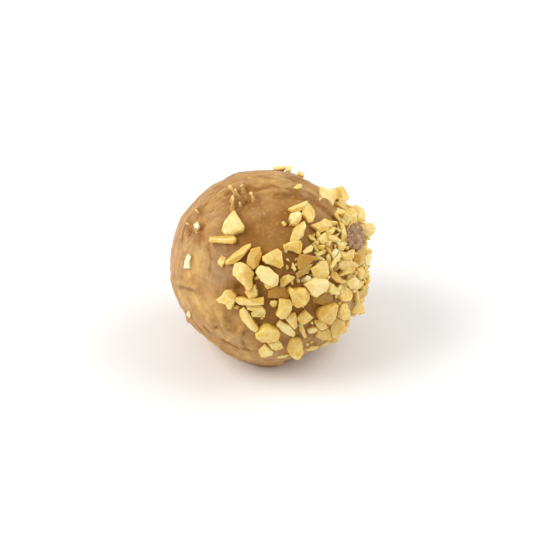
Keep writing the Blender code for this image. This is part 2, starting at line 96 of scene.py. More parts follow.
camera_data = bpy.data.cameras.new("camera")
camera_data.lens = LENS_MM
camera_data.sensor_width = SENSOR_MM
camera_data.clip_end = FARTHEST_SEEN
camera = bpy.data.objects.new("camera", camera_data)
bpy.context.scene.collection.objects.link(camera)
camera.location = to_world(np.array([[0.0, 0.0, CAMERA_DISTANCE]]))[0]
camera.rotation_euler = (math.radians(FACE_TILT_DEG), 0, 0)
bpy.context.scene.camera = camera
print("camera at", [round(value, 3) for value in camera.location])


# %% Lamps and surround
# name, place in metres, size, power in watts, colour
LAMPS = (
    ("key", (-0.4, -0.1, 0.38), 0.4, 2.3, (1.0, 0.985, 0.96)),
    ("side", (0.4, 0.05, 0.36), 0.5, 1.7, (1.0, 1.0, 1.0)),
    ("top", (0.0, 0.3, 0.45), 0.4, 0.2, (1.0, 1.0, 1.0)),
)
SURROUND_STRENGTH = 0.5


def soft_lamp(name, place, size, power, colour):
    """A square area lamp at this place, turned to look at the ball's centre."""
    data = bpy.data.lights.new(name, "AREA")
    data.size = size
    data.energy = power
    data.color = colour
    lamp = bpy.data.objects.new(name, data)
    bpy.context.scene.collection.objects.link(lamp)
    lamp.location = place
    aim = Vector((0, 0, CENTRE_HEIGHT * MM)) - Vector(place)
    lamp.rotation_euler = aim.to_track_quat("-Z", "Y").to_euler()


for row in LAMPS:
    soft_lamp(*row)
world = bpy.data.worlds.new("surround")
world.use_nodes = True
background = world.node_tree.nodes["Background"]
background.inputs["Color"].default_value = (1.0, 1.0, 1.0, 1.0)
background.inputs["Strength"].default_value = SURROUND_STRENGTH
bpy.context.scene.world = world
bpy.context.scene.view_settings.view_transform = "Standard"
bpy.context.scene.view_settings.exposure = 0.0
print(len(LAMPS), "lamps")


# %% Floor
FLOOR_HALF = 2.0
FLOOR_GREY = 0.93
FLOOR_ROUGHNESS = 0.9

floor_material = bpy.data.materials.new("floor")
floor_material.use_nodes = True
floor_shader = floor_material.node_tree.nodes["Principled BSDF"]
floor_shader.inputs["Base Color"].default_value = (FLOOR_GREY, FLOOR_GREY, FLOOR_GREY, 1.0)
floor_shader.inputs["Roughness"].default_value = FLOOR_ROUGHNESS
floor_mesh = bpy.data.meshes.new("floor")
floor_mesh.from_pydata(
    [(x * FLOOR_HALF, y * FLOOR_HALF, 0.0) for x, y in ((-1, -1), (1, -1), (1, 1), (-1, 1))],
    [],
    [(0, 1, 2, 3)],
)
floor_mesh.materials.append(floor_material)
floor = bpy.data.objects.new("floor", floor_mesh)
bpy.context.scene.collection.objects.link(floor)
print("floor,", 2 * FLOOR_HALF, "metres wide")

# %% [markdown]
# ## Grids and noise
# A ball from a globe's grid has pinched poles. A cube whose six sides are square grids, blown up
# to a ball, has none, and all its squares are nearly the same size, so fine relief looks the same
# everywhere. The corners shared by two sides are given one number, which leaves no seam. Noise and
# bells are the two plain shapes from which all the relief is added up.


# %% A ball of squares
def ball_grid(cells):
    """Unit directions and quads of a cube of 6 x cells x cells squares. Each coordinate c of a
    corner, -1 to 1, is spread to tan(c x 45 degrees), which evens out the squares' sizes.
    """
    steps = np.arange(cells + 1)
    first, second = np.meshgrid(steps, steps, indexing="ij")
    number = first * (cells + 1) + second
    quad = np.stack(
        (number[:-1, :-1], number[1:, :-1], number[1:, 1:], number[:-1, 1:]), axis=-1
    ).reshape(-1, 4)
    corners, quads = [], []
    for axis in range(3):
        for level in (0, cells):
            side = np.empty((cells + 1, cells + 1, 3), int)
            side[..., axis] = level
            side[..., (axis + 1) % 3] = first if level else second
            side[..., (axis + 2) % 3] = second if level else first
            quads.append(quad + len(corners) * number.size)
            corners.append(side.reshape(-1, 3))
    corners = np.concatenate(corners)
    keys = corners @ np.array((1, cells + 1, (cells + 1) ** 2))
    _, kept, renumbered = np.unique(keys, return_index=True, return_inverse=True)
    spread = np.tan((corners[kept] / cells * 2.0 - 1.0) * math.pi / 4.0)
    return unit(spread), renumbered.reshape(-1)[np.concatenate(quads)]


coarse_ball, coarse_quads = ball_grid(12)
print("a coarse ball:", len(coarse_ball), "points,", len(coarse_quads), "squares")

# %% Noise and bells
NOISE_GAIN = 1.8


def smooth_noise(points, size, seed):
    """Gradient noise, about -1 to 1. Each corner of a lattice of this size has a random slope, and
    the eight slopes round a point are mixed by the fade 6t^5 - 15t^4 + 10t^3 along each axis.
    """
    rng = np.random.default_rng(seed)
    order = rng.permutation(256)
    slopes = unit(rng.normal(size=(256, 3)))
    scaled = points / size
    cell = np.floor(scaled).astype(int)
    part = scaled - cell
    fade = part**3 * (part * (part * 6.0 - 15.0) + 10.0)
    total = np.zeros(len(points))
    for corner in np.ndindex(2, 2, 2):
        at = cell + corner
        index = order[(order[(order[at[:, 0] & 255] + at[:, 1]) & 255] + at[:, 2]) & 255]
        weight = np.prod(np.where(corner, fade, 1.0 - fade), axis=1)
        total += weight * (slopes[index] * (part - corner)).sum(axis=1)
    return total * NOISE_GAIN


def layered_noise(points, size, seed, layers=3):
    """Noise at this size plus noise at each half size with half the height."""
    return sum(
        smooth_noise(points, size / 2**layer, seed + layer) / 2**layer for layer in range(layers)
    )


def bell(distance, spread):
    """exp(-(distance / spread)^2): one in the middle, and almost nothing past two spreads."""
    return np.exp(-((distance / spread) ** 2))


def soft_step(values, middle, width):
    """1 / (1 + exp(-(value - middle) / width)): from zero to one across this middle."""
    return 1.0 / (1.0 + np.exp(-(values - middle) / width))


def bent(directions, reach, size, seed, layers=1):
    """The directions, each moved by reach x three noises, one along each axis."""
    points = directions * BALL_RADIUS
    moves = [layered_noise(points, size, seed + axis, layers) for axis in range(3)]
    return directions + reach * np.stack(moves, axis=1)


sample = layered_noise(coarse_ball * BALL_RADIUS, 4.0, 0)
print("noise on the coarse ball, from", sample.min().round(2), "to", sample.max().round(2))

# %% [markdown]
# ## The coating's shape
# Molten chocolate sags into broad swells, and the dipping fork leaves lips, strokes and pulled-up
# points. Sculpting could make these, but a sum of small named forms on a ball can be changed one
# at a time: swells are bells round a point, lips are bells round a line. The broad ones are the
# packed solid's own, so that the surface follows it, and the fine ones are added here.

# %% Broad forms, as in the packed solid
FOOT_HEIGHT = 1.1
FOOT_OUT = 0.45
FOOT_WAVES = ((2, 0.35, 250.0), (3, 0.3, 20.0), (5, 0.2, 130.0))

# right, up, out, spread, height
SWELLS = (
    (-14.0, 8.1, 0.0, 2.6, 0.35),
    (-9.3, 13.2, 0.0, 5.0, 0.14),
    (-14.7, -6.8, 0.0, 2.4, -0.6),
    (-10.8, -12.1, 0.0, 3.6, -1.35),
    (-7.3, -14.4, 0.0, 2.2, -0.35),
    (0.6, -16.2, 0.0, 2.6, 0.2),
    (2.4, -16.0, 0.0, 0.9, 0.4),
    (4.5, -15.5, 0.0, 1.4, -1.2),
    (-13.2, -9.2, 0.0, 1.1, 0.55),
    (7.6, 14.3, 0.0, 2.4, -0.3),
    (7.0, -14.6, 0.0, 2.2, -0.2),
    (14.5, 2.0, 6.0, 7.0, 0.55),
    (15.2, 6.6, 0.0, 3.2, 0.6),
    (10.5, -8.0, 9.0, 4.0, 0.3),
    (13.0, 4.0, -9.0, 6.0, 0.4),
    (-3.4, 11.6, 10.8, 2.0, -0.3),
    (-2.3, 13.6, 8.5, 1.4, 0.3),
    (0.8, 6.5, 14.8, 3.4, -0.25),
    (-4.7, -4.2, 14.9, 1.6, -0.35),
    (-9.5, 3.0, 12.8, 3.2, 0.2),
    (-7.5, -8.0, 11.9, 2.6, 0.22),
    (-5.5, -9.3, 12.1, 1.3, -0.3),
    (-2.0, -3.0, -15.8, 6.0, 0.25),
    (-11.0, 5.0, -10.8, 4.0, -0.3),
    (3.0, 10.0, -12.4, 3.6, 0.3),
    (-6.0, 12.0, -9.0, 2.4, -0.25),
)

# spread, height, points (right, up)
RIDGES = (
    (0.9, 0.55, ((1.5, 12.0), (4.0, 12.4), (6.5, 12.0), (9.8, 10.5), (11.5, 8.5))),
    (0.8, 0.42, ((-2.8, 13.7), (1.0, 14.6), (5.0, 12.9))),
    (0.7, 0.14, ((-7.0, 14.7), (-5.4, 15.4), (-4.2, 15.6))),
    (0.8, 0.42, ((-2.2, 11.4), (-1.7, 10.0), (-0.7, 8.4))),
    (0.8, 0.5, ((-6.8, -8.3), (-6.6, -9.6), (-5.8, -10.3))),
    (0.8, 0.35, ((-15.8, -2.2), (-13.7, -2.8), (-11.4, -3.4))),
    (0.9, 0.42, ((-12.6, -9.8), (-8.0, -13.0), (-4.4, -15.4))),
)
print(len(SWELLS), "swells and", len(RIDGES), "lips")


# %% The coating's radius
def swell(directions, right, up, out, spread, height):
    """height x bell of the straight distance from the swell's middle to the point of the ball."""
    middle = unit(np.array((right, up, out))) * BALL_RADIUS
    return height * bell(np.linalg.norm(directions * BALL_RADIUS - middle, axis=1), spread)


def line_distance(directions, points):
    """Distance from each point of the ball to the nearest stretch of a line drawn on the face."""
    here = directions * BALL_RADIUS
    ends = [on_ball(*point) for point in points]
    nearest = np.full(len(here), np.inf)
    for start, end in zip(ends, ends[1:]):
        run = end - start
        share = np.clip((here - start) @ run / (run @ run), 0.0, 1.0)
        gap = here - start - share[:, None] * run
        nearest = np.minimum(nearest, np.linalg.norm(gap, axis=1))
    return nearest


def height_above_floor(directions):
    """The z of each point of the plain ball, in millimetres."""
    return CENTRE_HEIGHT + BALL_RADIUS * (directions @ FACE_TURN[2])


def foot(directions):
    """The lip at the flat spot: (1 + slow waves round the spot) x bell of the height over it."""
    world = directions @ FACE_TURN.T
    heading = np.arctan2(world[:, 1], world[:, 0])
    wave = sum(
        share * np.cos(count * (heading - math.radians(lag))) for count, share, lag in FOOT_WAVES
    )
    above = np.maximum(height_above_floor(directions), 0.0)
    return FOOT_OUT * (1.0 + wave) * bell(above, FOOT_HEIGHT)


def coating_radius(directions):
    """How far the solid's coating reaches: the ball plus every swell and lip, plus the foot."""
    radius = np.full(len(directions), BALL_RADIUS)
    for row in SWELLS:
        radius += swell(directions, *row)
    for spread, height, points in RIDGES:
        radius += height * bell(line_distance(directions, points), spread)
    return radius + foot(directions)


reach = coating_radius(coarse_ball)
print("the coating reaches", reach.min().round(2), "to", reach.max().round(2), "mm")

# %% [markdown]
# ## The nuts' places
# Each piece that shows has a row of its own: the corners of its outline, how high and thick it is
# and how dark. The corners were read off a grid of six steps to a millimetre laid over the
# face. Outlines take longer to write than sizes and angles, but chopped nuts are told apart by
# their outlines. The nuts are placed before the coating is made, because it climbs a little round
# each.

# %% Table of the nuts that show
GRID_STEP = 1.0 / 6.0
GRID_MIDDLE = 266.0

# lift, thickness, tone (-0.4 white, 0 ivory, 0.5 golden, 1 amber), corners counted right and down
NUTS = (
    (0.2, 2.4, 0.25, 234, 210, 231, 213, 225, 220, 221, 230, 224, 234, 231, 234, 241, 230, 243,
     225, 237, 215),
    (0.5, 1.3, 0.4, 209, 236, 220, 235, 231, 234, 235, 237, 234, 241, 231, 243, 217, 242, 208, 241),
    (0.4, 1.3, 0.45, 250, 243, 250, 246, 244, 254, 239, 259, 234, 263, 225, 264, 225, 260, 233,
     253, 244, 245),
    (0.1, 1.9, 0.7, 251, 248, 259, 246, 261, 253, 258, 265, 253, 269, 246, 263, 247, 256),
    (0.0, 0.8, 0.35, 221, 255, 225, 257, 224, 262, 221, 267, 218, 264, 217, 261),
    (0.2, 2.3, 0.5, 262, 256, 270, 251, 277, 248, 281, 251, 283, 265, 280, 268, 273, 265, 265,
     263, 262, 260),
    (0.3, 2.2, 0.3, 240, 262, 234, 263, 232, 269, 232, 274, 238, 280, 244, 286, 246, 290, 249, 290,
     252, 285, 251, 280, 253, 273, 250, 268, 246, 264),
    (0.4, 2.6, 0.1, 260, 265, 269, 267, 274, 272, 278, 275, 278, 281, 277, 285, 271, 286, 264, 283,
     260, 280, 255, 272, 257, 267),
    (-0.1, 1.4, 0.4, 263, 282, 277, 281, 277, 285, 272, 287, 267, 289, 265, 287),
    (0.0, 1.5, 0.35, 255, 284, 257, 291, 257, 295, 252, 300, 249, 299, 244, 292, 246, 289, 252,
     285),
    (0.2, 1.9, 0.3, 224, 290, 230, 290, 235, 295, 235, 300, 232, 306, 229, 309, 227, 308, 226, 304,
     219, 302, 216, 299, 221, 295),
    (0.5, 0.9, 0.4, 236, 297, 242, 297, 248, 299, 263, 297, 263, 304, 255, 305, 244, 305, 238,
     304, 234, 300),
    (0.1, 1.0, 0.35, 245, 305, 256, 303, 261, 306, 265, 310, 265, 314, 255, 311, 247, 309),
    (-0.1, 1.0, 0.45, 253, 310, 265, 312, 264, 317, 251, 316, 250, 313),
    (0.4, 1.4, 0.25, 243, 307, 246, 310, 252, 320, 258, 329, 256, 332, 250, 329, 243, 322, 239,
     315, 239, 310),
    (0.3, 2.5, 0.5, 264, 326, 269, 326, 277, 330, 280, 334, 278, 340, 271, 342, 262, 343, 255, 337,
     255, 332, 260, 329),
    (0.0, 1.2, 0.4, 267, 343, 278, 340, 281, 342, 283, 348, 275, 350, 271, 348),
    (0.2, 1.5, 0.2, 264, 344, 273, 351, 272, 354, 268, 355, 266, 357, 263, 356, 261, 357, 258,
     352, 260, 349),
    (0.3, 1.5, 0.15, 280, 321, 284, 323, 290, 325, 295, 333, 294, 337, 290, 336, 280, 330, 276,
     325),
    (0.2, 2.5, 0.55, 292, 338, 300, 338, 302, 344, 303, 352, 298, 360, 295, 359, 290, 355, 287,
     350, 289, 341),
    (0.0, 0.8, 0.5, 304, 347, 309, 345, 319, 346, 316, 349, 309, 350, 305, 350),
    (0.1, 1.2, 0.2, 311, 327, 314, 326, 318, 329, 314, 334, 308, 332, 307, 329),
    (0.0, 0.9, 0.5, 298, 319, 301, 321, 303, 327, 307, 337, 304, 338, 299, 330),
    (0.3, 1.1, 0.35, 288, 208, 293, 205, 300, 203, 307, 200, 309, 203, 303, 209, 297, 211, 292,
     211),
    (0.4, 0.9, 0.5, 307, 201, 311, 205, 314, 209, 315, 215, 312, 221, 308, 222, 304, 216, 301,
     213, 304, 207),
    (0.3, 2.0, 0.08, 290, 213, 299, 211, 301, 215, 301, 218, 297, 224, 290, 223, 291, 220, 289,
     217),
    (0.3, 1.5, 0.3, 304, 220, 306, 225, 304, 231, 303, 235, 297, 241, 290, 241, 291, 235, 294,
     227, 299, 223),
    (0.0, 1.7, 0.55, 296, 240, 300, 240, 302, 243, 301, 252, 299, 253, 291, 250, 285, 250, 283,
     246, 287, 242),
    (0.1, 1.2, 0.15, 302, 251, 306, 247, 311, 244, 313, 247, 311, 251, 304, 254),
    (0.3, 1.3, 0.45, 311, 224, 320, 221, 324, 218, 330, 220, 331, 225, 325, 230, 320, 232, 316,
     228),
    (0.4, 1.1, 0.4, 331, 225, 336, 228, 333, 232, 330, 235, 325, 234, 326, 229),
    (0.5, 1.0, 0.4, 324, 232, 327, 236, 328, 240, 323, 244, 320, 242, 317, 238, 320, 235),
    (0.4, 0.9, 0.4, 326, 234, 335, 235, 341, 240, 340, 243, 333, 241, 328, 240),
    (-0.3, 1.3, 1.0, 329, 241, 333, 242, 334, 247, 332, 257, 326, 252, 325, 246),
    (0.1, 1.0, 0.2, 292, 262, 294, 264, 296, 269, 294, 271, 291, 267),
    (-0.1, 1.3, 0.95, 299, 253, 317, 256, 311, 262, 300, 270, 297, 268, 297, 259),
    (0.0, 1.1, 0.85, 295, 273, 304, 265, 312, 263, 311, 269, 304, 274, 297, 278),
    (0.1, 1.4, 0.3, 288, 274, 295, 277, 289, 282, 284, 286, 280, 284, 280, 279, 283, 276),
    (0.5, 2.4, 0.1, 315, 278, 327, 279, 329, 284, 326, 290, 320, 294, 315, 297, 312, 295, 309,
     290, 305, 285),
    (0.1, 1.0, -0.35, 304, 278, 307, 275, 310, 276, 311, 280, 306, 282),
    (0.2, 2.4, 0.5, 299, 288, 305, 288, 310, 294, 309, 300, 304, 305, 298, 308, 293, 305, 291, 297,
     288, 291, 290, 287, 295, 290),
    (0.3, 1.9, 0.4, 279, 299, 290, 300, 292, 304, 291, 310, 286, 318, 280, 319, 276, 315, 278, 308),
    (0.2, 1.6, 0.3, 290, 314, 295, 313, 297, 320, 297, 327, 294, 329, 290, 325, 285, 319),
    (0.2, 1.4, 0.55, 305, 310, 313, 317, 310, 320, 302, 325, 298, 321, 297, 317, 301, 313),
    (-0.3, 1.4, 1.0, 326, 291, 333, 295, 331, 303, 326, 306, 313, 302, 311, 297, 320, 294),
    (0.3, 2.5, 0.62, 337, 304, 339, 306, 336, 314, 330, 325, 320, 320, 318, 314, 320, 310, 327,
     306),
    (0.1, 1.9, 0.65, 334, 315, 338, 317, 344, 321, 348, 331, 340, 334, 334, 338, 330, 336, 329,
     328, 331, 321),
    (0.4, 1.6, 0.4, 340, 303, 346, 302, 350, 311, 349, 319, 343, 320, 338, 317, 338, 310),
    (0.1, 1.1, 0.45, 314, 320, 321, 319, 326, 324, 328, 328, 321, 330, 316, 327),
    (0.0, 1.6, 0.65, 319, 330, 328, 329, 334, 333, 331, 339, 322, 340, 315, 336, 315, 333),
    (0.0, 0.8, 0.5, 319, 345, 325, 341, 330, 340, 326, 345, 320, 347),
    (0.2, 1.3, 0.45, 349, 304, 353, 301, 358, 301, 363, 304, 365, 312, 360, 315, 353, 313, 350,
     311),
    (0.2, 1.8, 0.7, 367, 284, 370, 287, 368, 292, 361, 299, 358, 301, 353, 300, 355, 292, 360, 288),
    (0.4, 1.7, 0.2, 354, 276, 359, 280, 356, 289, 350, 289, 345, 283, 345, 281, 350, 278),
    (0.2, 1.3, 0.3, 329, 283, 334, 285, 339, 290, 339, 294, 330, 294, 328, 291),
    (0.1, 1.8, 0.5, 341, 284, 347, 287, 352, 290, 354, 294, 351, 300, 342, 301, 338, 297, 339, 291),
    (0.5, 1.2, 0.3, 311, 268, 316, 265, 320, 261, 326, 260, 328, 266, 329, 273, 325, 278, 315,
     278, 313, 273),
    (0.4, 1.2, 0.6, 338, 263, 343, 260, 350, 260, 354, 265, 355, 270, 349, 273, 342, 270, 337, 266),
    (0.2, 1.4, 0.75, 356, 249, 362, 245, 365, 248, 364, 258, 361, 265, 356, 267, 352, 259, 354,
     253),
    (0.1, 1.4, 0.05, 365, 244, 369, 248, 372, 253, 371, 259, 367, 266, 363, 265, 363, 255, 364,
     248),
    (0.2, 1.2, 0.3, 356, 268, 361, 266, 366, 273, 363, 278, 360, 279, 356, 274),
    (0.0, 1.0, 0.4, 360, 280, 364, 285, 359, 288, 357, 284),
    (0.2, 1.3, 0.55, 340, 250, 346, 252, 351, 249, 355, 249, 353, 257, 350, 260, 343, 260, 340,
     255),
    (0.2, 1.3, 0.35, 360, 222, 372, 222, 376, 228, 373, 234, 366, 238, 361, 233),
    (0.3, 1.2, 0.2, 355, 203, 363, 208, 366, 215, 363, 222, 358, 222, 356, 214, 353, 206),
    (0.3, 1.3, 0.3, 352, 206, 356, 210, 357, 222, 350, 222, 346, 226, 341, 220, 345, 212),
    (0.4, 1.2, 0.3, 320, 186, 324, 187, 329, 190, 332, 187, 337, 190, 336, 198, 331, 208, 326, 206,
     321, 200, 319, 192),
    (0.1, 1.4, 0.5, 335, 187, 341, 185, 346, 189, 349, 198, 344, 202, 340, 203, 335, 200, 337, 192),
    (0.1, 1.2, 0.55, 335, 202, 344, 201, 347, 208, 345, 213, 340, 208),
    (0.3, 1.0, 0.4, 340, 221, 343, 224, 347, 235, 345, 243, 341, 240, 341, 229),
    (-0.1, 1.1, 0.95, 336, 222, 340, 221, 341, 229, 340, 234, 336, 233),
    (0.3, 0.9, 0.3, 352, 220, 353, 224, 349, 231, 347, 235, 346, 229),
    (0.4, 1.0, 0.3, 335, 241, 345, 242, 346, 246, 343, 250, 339, 249, 338, 245),
    (0.5, 0.9, -0.1, 335, 248, 338, 250, 336, 254, 333, 258, 331, 253),
    (0.6, 0.9, 0.2, 339, 252, 341, 256, 336, 262, 332, 268, 329, 267, 334, 258),
    (0.2, 0.9, 0.3, 328, 253, 330, 258, 330, 263, 327, 261, 326, 256),
    (0.0, 1.2, 0.65, 332, 269, 337, 273, 343, 280, 343, 284, 335, 281, 330, 276),
    (0.1, 1.0, 0.7, 347, 274, 355, 275, 351, 279, 345, 281),
    (0.0, 1.2, 1.0, 334, 262, 338, 264, 338, 269, 334, 271, 331, 266),
    (0.5, 0.9, 0.35, 293, 187, 297, 183, 301, 184, 302, 187, 296, 189),
    (0.0, 0.9, -0.4, 197, 221, 199, 226, 197, 230, 194, 229, 193, 225),
    (0.1, 1.1, -0.4, 187, 253, 190, 256, 189, 262, 190, 268, 182, 268, 184, 261, 185, 256),
    (-0.35, 1.2, 1.0, 267, 297, 268, 290, 273, 286, 280, 285, 286, 288, 289, 293, 288, 298,
     277, 298),
    (0.5, 2.2, 0.5, 354, 223, 358, 221, 361, 229, 366, 236, 366, 245, 360, 248, 351, 249, 345,
     241, 347, 232),
)
SKIN_ROW = len(NUTS) - 1

# Crumbs too small for the packed solid: right, up, long, wide, turn in degrees, tone
CRUMBS = (
    (-1.5, -1.8, 1.3, 0.7, 30, 0.6),
    (-5.0, -6.8, 1.0, 0.8, 10, 0.4),
    (6.8, -13.0, 0.6, 0.5, 0, 0.2),
    (2.7, -15.0, 2.3, 0.6, 8, 0.3),
    (8.3, 3.0, 2.5, 0.6, -62, 0.35),
    (8.3, 2.2, 0.8, 0.6, 0, 0.2),
    (9.7, 0.7, 1.0, 0.7, 20, 0.1),
    (11.5, 2.2, 2.0, 0.7, 80, 0.1),
    (14.2, 2.3, 1.2, 1.1, 0, 0.25),
    (12.0, 9.6, 1.0, 0.6, 0, 0.2),
    (2.2, 16.5, 2.2, 0.7, 4, 0.15),
    (3.7, 16.3, 1.1, 1.0, 20, 0.1),
    (5.8, 15.5, 1.4, 0.6, -35, 0.4),
    (-13.0, -8.0, 1.2, 0.7, 100, -0.3),
    (-6.0, -6.6, 1.3, 0.8, -70, 0.3),
    (7.9, 5.2, 0.7, 0.6, 40, 0.5),
    (5.4, -1.4, 0.8, 0.5, 15, 0.5),
    (7.6, -9.4, 0.7, 0.5, 60, 0.3),
    (1.2, -6.2, 1.4, 1.2, 20, 0.55),
    (3.8, -3.9, 1.1, 0.6, -60, 0.6),
    (10.4, 0.4, 0.8, 0.6, 10, 0.3),
    (12.2, -6.1, 0.9, 0.6, 70, 0.4),
)
print(len(NUTS), "rows of nuts, the last for the piece of skin, and", len(CRUMBS), "of crumbs")

# %% [markdown]
# ### One piece of nut
# A nut is chopped by a blade, so a piece has straight sides, sharp corners and a few flat breaks
# across its outer face. It is built as rings from its underside to its crown: each ring is the
# outline at a share of its size, and the crown is the lowest of the breaks' planes over each
# point.

# %% Outlines


def from_grid(numbers):
    """Corners counted on the grid, as millimetres right and up on the face."""
    corners = np.array(numbers, float).reshape(-1, 2) - GRID_MIDDLE
    return corners * (GRID_STEP, -GRID_STEP)


def about_centroid(corners):
    """The corners anticlockwise about the centroid of the outline, and the centroid."""
    after = np.roll(corners, -1, axis=0)
    cross = corners[:, 0] * after[:, 1] - corners[:, 1] * after[:, 0]
    centroid = ((corners + after) * cross[:, None]).sum(axis=0) / (3.0 * cross.sum())
    around = corners - centroid
    return (around if cross.sum() > 0 else around[::-1]), centroid


def shape_axes(corners):
    """The outline's long and short axes, each divided by its reach."""
    (xx, xy), (_, yy) = corners.T @ corners / len(corners)
    turn = 0.5 * math.atan2(2.0 * xy, xx - yy)
    axes = np.array(((math.cos(turn), math.sin(turn)), (-math.sin(turn), math.cos(turn))))
    reach = AXIS_REACH * np.sqrt(((corners @ axes.T) ** 2).mean(axis=0))
    return axes / reach[:, None]


def with_points_between(corners, sides):
    """The outline as this many points: every corner, and more shared out by each side's length."""
    run = np.roll(corners, -1, axis=0) - corners
    length = np.linalg.norm(run, axis=1)
    spare = (sides - len(corners)) * length / length.sum()
    count = 1 + np.floor(spare).astype(int)
    left = sides - count.sum()
    count[np.argsort(np.floor(spare) - spare)[:left]] += 1
    side = np.repeat(np.arange(len(corners)), count)
    step = np.arange(sides) - np.repeat(np.cumsum(count) - count, count)
    return corners[side] + run[side] * (step / count[side])[:, None]


print("middle of the first piece:", about_centroid(from_grid(NUTS[0][3:]))[1].round(1))


# %% Breaks across the crown
BREAKS = 3
BREAK_SLOPE = (0.4, 1.1)
BREAK_START = (0.0, 0.7)
BREAK_JITTER = 0.6
AXIS_REACH = 1.4


def breaks_of(index):
    """The planes broken across a piece: slope along each axis, and height over its middle."""
    rng = np.random.default_rng(index)
    heading = rng.uniform(0.0, 2.0 * math.pi) + np.arange(BREAKS) * 2.0 * math.pi / BREAKS
    heading += rng.uniform(-BREAK_JITTER, BREAK_JITTER, BREAKS)
    slope = rng.uniform(*BREAK_SLOPE, BREAKS)
    start = rng.uniform(*BREAK_START, BREAKS)
    return np.stack((-slope * np.cos(heading), -slope * np.sin(heading), 1.0 + slope * start), 1)


print("the first piece has", len(breaks_of(0)), "breaks")


# %% Where a piece lies
LIFT_SHARE = 0.24
SUNK = 0.35
SLOPE_SHARE = 0.75
MOST_SLOPE = 1.1
CROWN_SHIFT = 0.27
VIEW_DISTANCE = 741.0
LEAST_ACROSS = 0.1


def lying_frame(centroid, thick, height):
    """A placement tilted to follow the ball's slope, so that the piece's crown, seen squarely from
    the view distance, has the outline's place on the face.
    """
    across = max(math.hypot(*centroid), LEAST_ACROSS)
    reach = coating_radius(unit(on_ball(*centroid))[None, :])[0] + height
    out = math.sqrt(max(reach**2 - across**2, 0.0))
    slope = SLOPE_SHARE * min(across / max(out, LEAST_ACROSS), MOST_SLOPE)
    tilt = -slope * centroid / across
    placement = np.eye(4)
    placement[2, :2] = tilt
    outward = unit(np.array((-tilt[0], -tilt[1], 1.0)))
    nearer = 1.0 - out / VIEW_DISTANCE
    placement[:3, 2] = outward
    placement[:3, 3] = (*(nearer * centroid - CROWN_SHIFT * thick * outward[:2]), out)
    return placement


def standing_frame(centre, outward):
    """A placement whose third axis points outward."""
    along = unit(np.cross((0.0, 1.0, 0.0), outward))
    placement = np.eye(4)
    placement[:3, :3] = np.column_stack((along, np.cross(outward, along), outward))
    placement[:3, 3] = centre
    return placement


def piece(index, corners, thick, sunk, tone, placement):
    """One piece as a dictionary: its outline, its thickness, its breaks and its placement."""
    return {
        "corners": corners,
        "thick": thick,
        "sunk": sunk,
        "tone": tone,
        "breaks": breaks_of(index),
        "seed": index,
        "placement": placement,
        "centre": placement[:3, 3],
        "reach": np.sqrt((corners**2).sum(axis=1).mean()),
    }


def face_piece(index, lift, thick, tone, corners, centroid):
    """A piece that shows, with its middle a share of its thickness above the coating."""
    placement = lying_frame(centroid, thick, LIFT_SHARE * thick + lift)
    return piece(index, corners, thick, max(lift, 0.0) + SUNK, tone, placement)


nuts = [
    face_piece(index, lift, thick, tone, *about_centroid(from_grid(numbers)))
    for index, (lift, thick, tone, *numbers) in enumerate(NUTS)
]
print(len(nuts), "nuts placed on the face")

# %% [markdown]
# ### Nuts on the hidden side
# Throwing random spots at a ball and keeping those clear of the others gives the even, unordered
# cover of a hand that presses a sweet into chopped nuts. The seed is fixed, so that each run is
# the same.

# %% Seeded places
BACK_SEED = 7
BACK_LEAST_DEPTH = 0.1
BACK_TRIES = 3000
BACK_PATCH = ((0.85, -0.35, 0.2), 75.0)
BACK_LEAST_GAP = 1.95
BACK_LEAST_HEIGHT = 3.6
BACK_LONG = (3.7, 1.9)
BACK_WIDE_SHARE = (0.5, 0.85)
BACK_THICK_SHARE = (0.5, 0.85)
BACK_LEAST_THICK = 0.9
BACK_LEAN = 0.3
BACK_CORNERS = (5, 8)
CORNER_SHIFT = 0.3
CORNER_REACH = (0.85, 1.1)
BACK_OUTLINE_SEED = 2000
BACK_TONES = (0.35, 0.2, 0.5, 0.3, 0.8, 0.4, 0.15, 0.45, 0.6)


def random_outline(rng, long, wide, turn=None):
    """Corners at uneven angles round an ellipse of this length and width, turned at random."""
    count = rng.integers(*BACK_CORNERS)
    angle = (np.arange(count) + rng.uniform(-CORNER_SHIFT, CORNER_SHIFT, count)) / count
    reach = rng.uniform(*CORNER_REACH, count) / 2.0
    around = 2.0 * math.pi * angle
    flat = np.column_stack((long * np.cos(around), wide * np.sin(around))) * reach[:, None]
    if turn is None:
        turn = rng.uniform(0.0, math.pi)
    return flat @ np.array(((math.cos(turn), math.sin(turn)), (-math.sin(turn), math.cos(turn))))


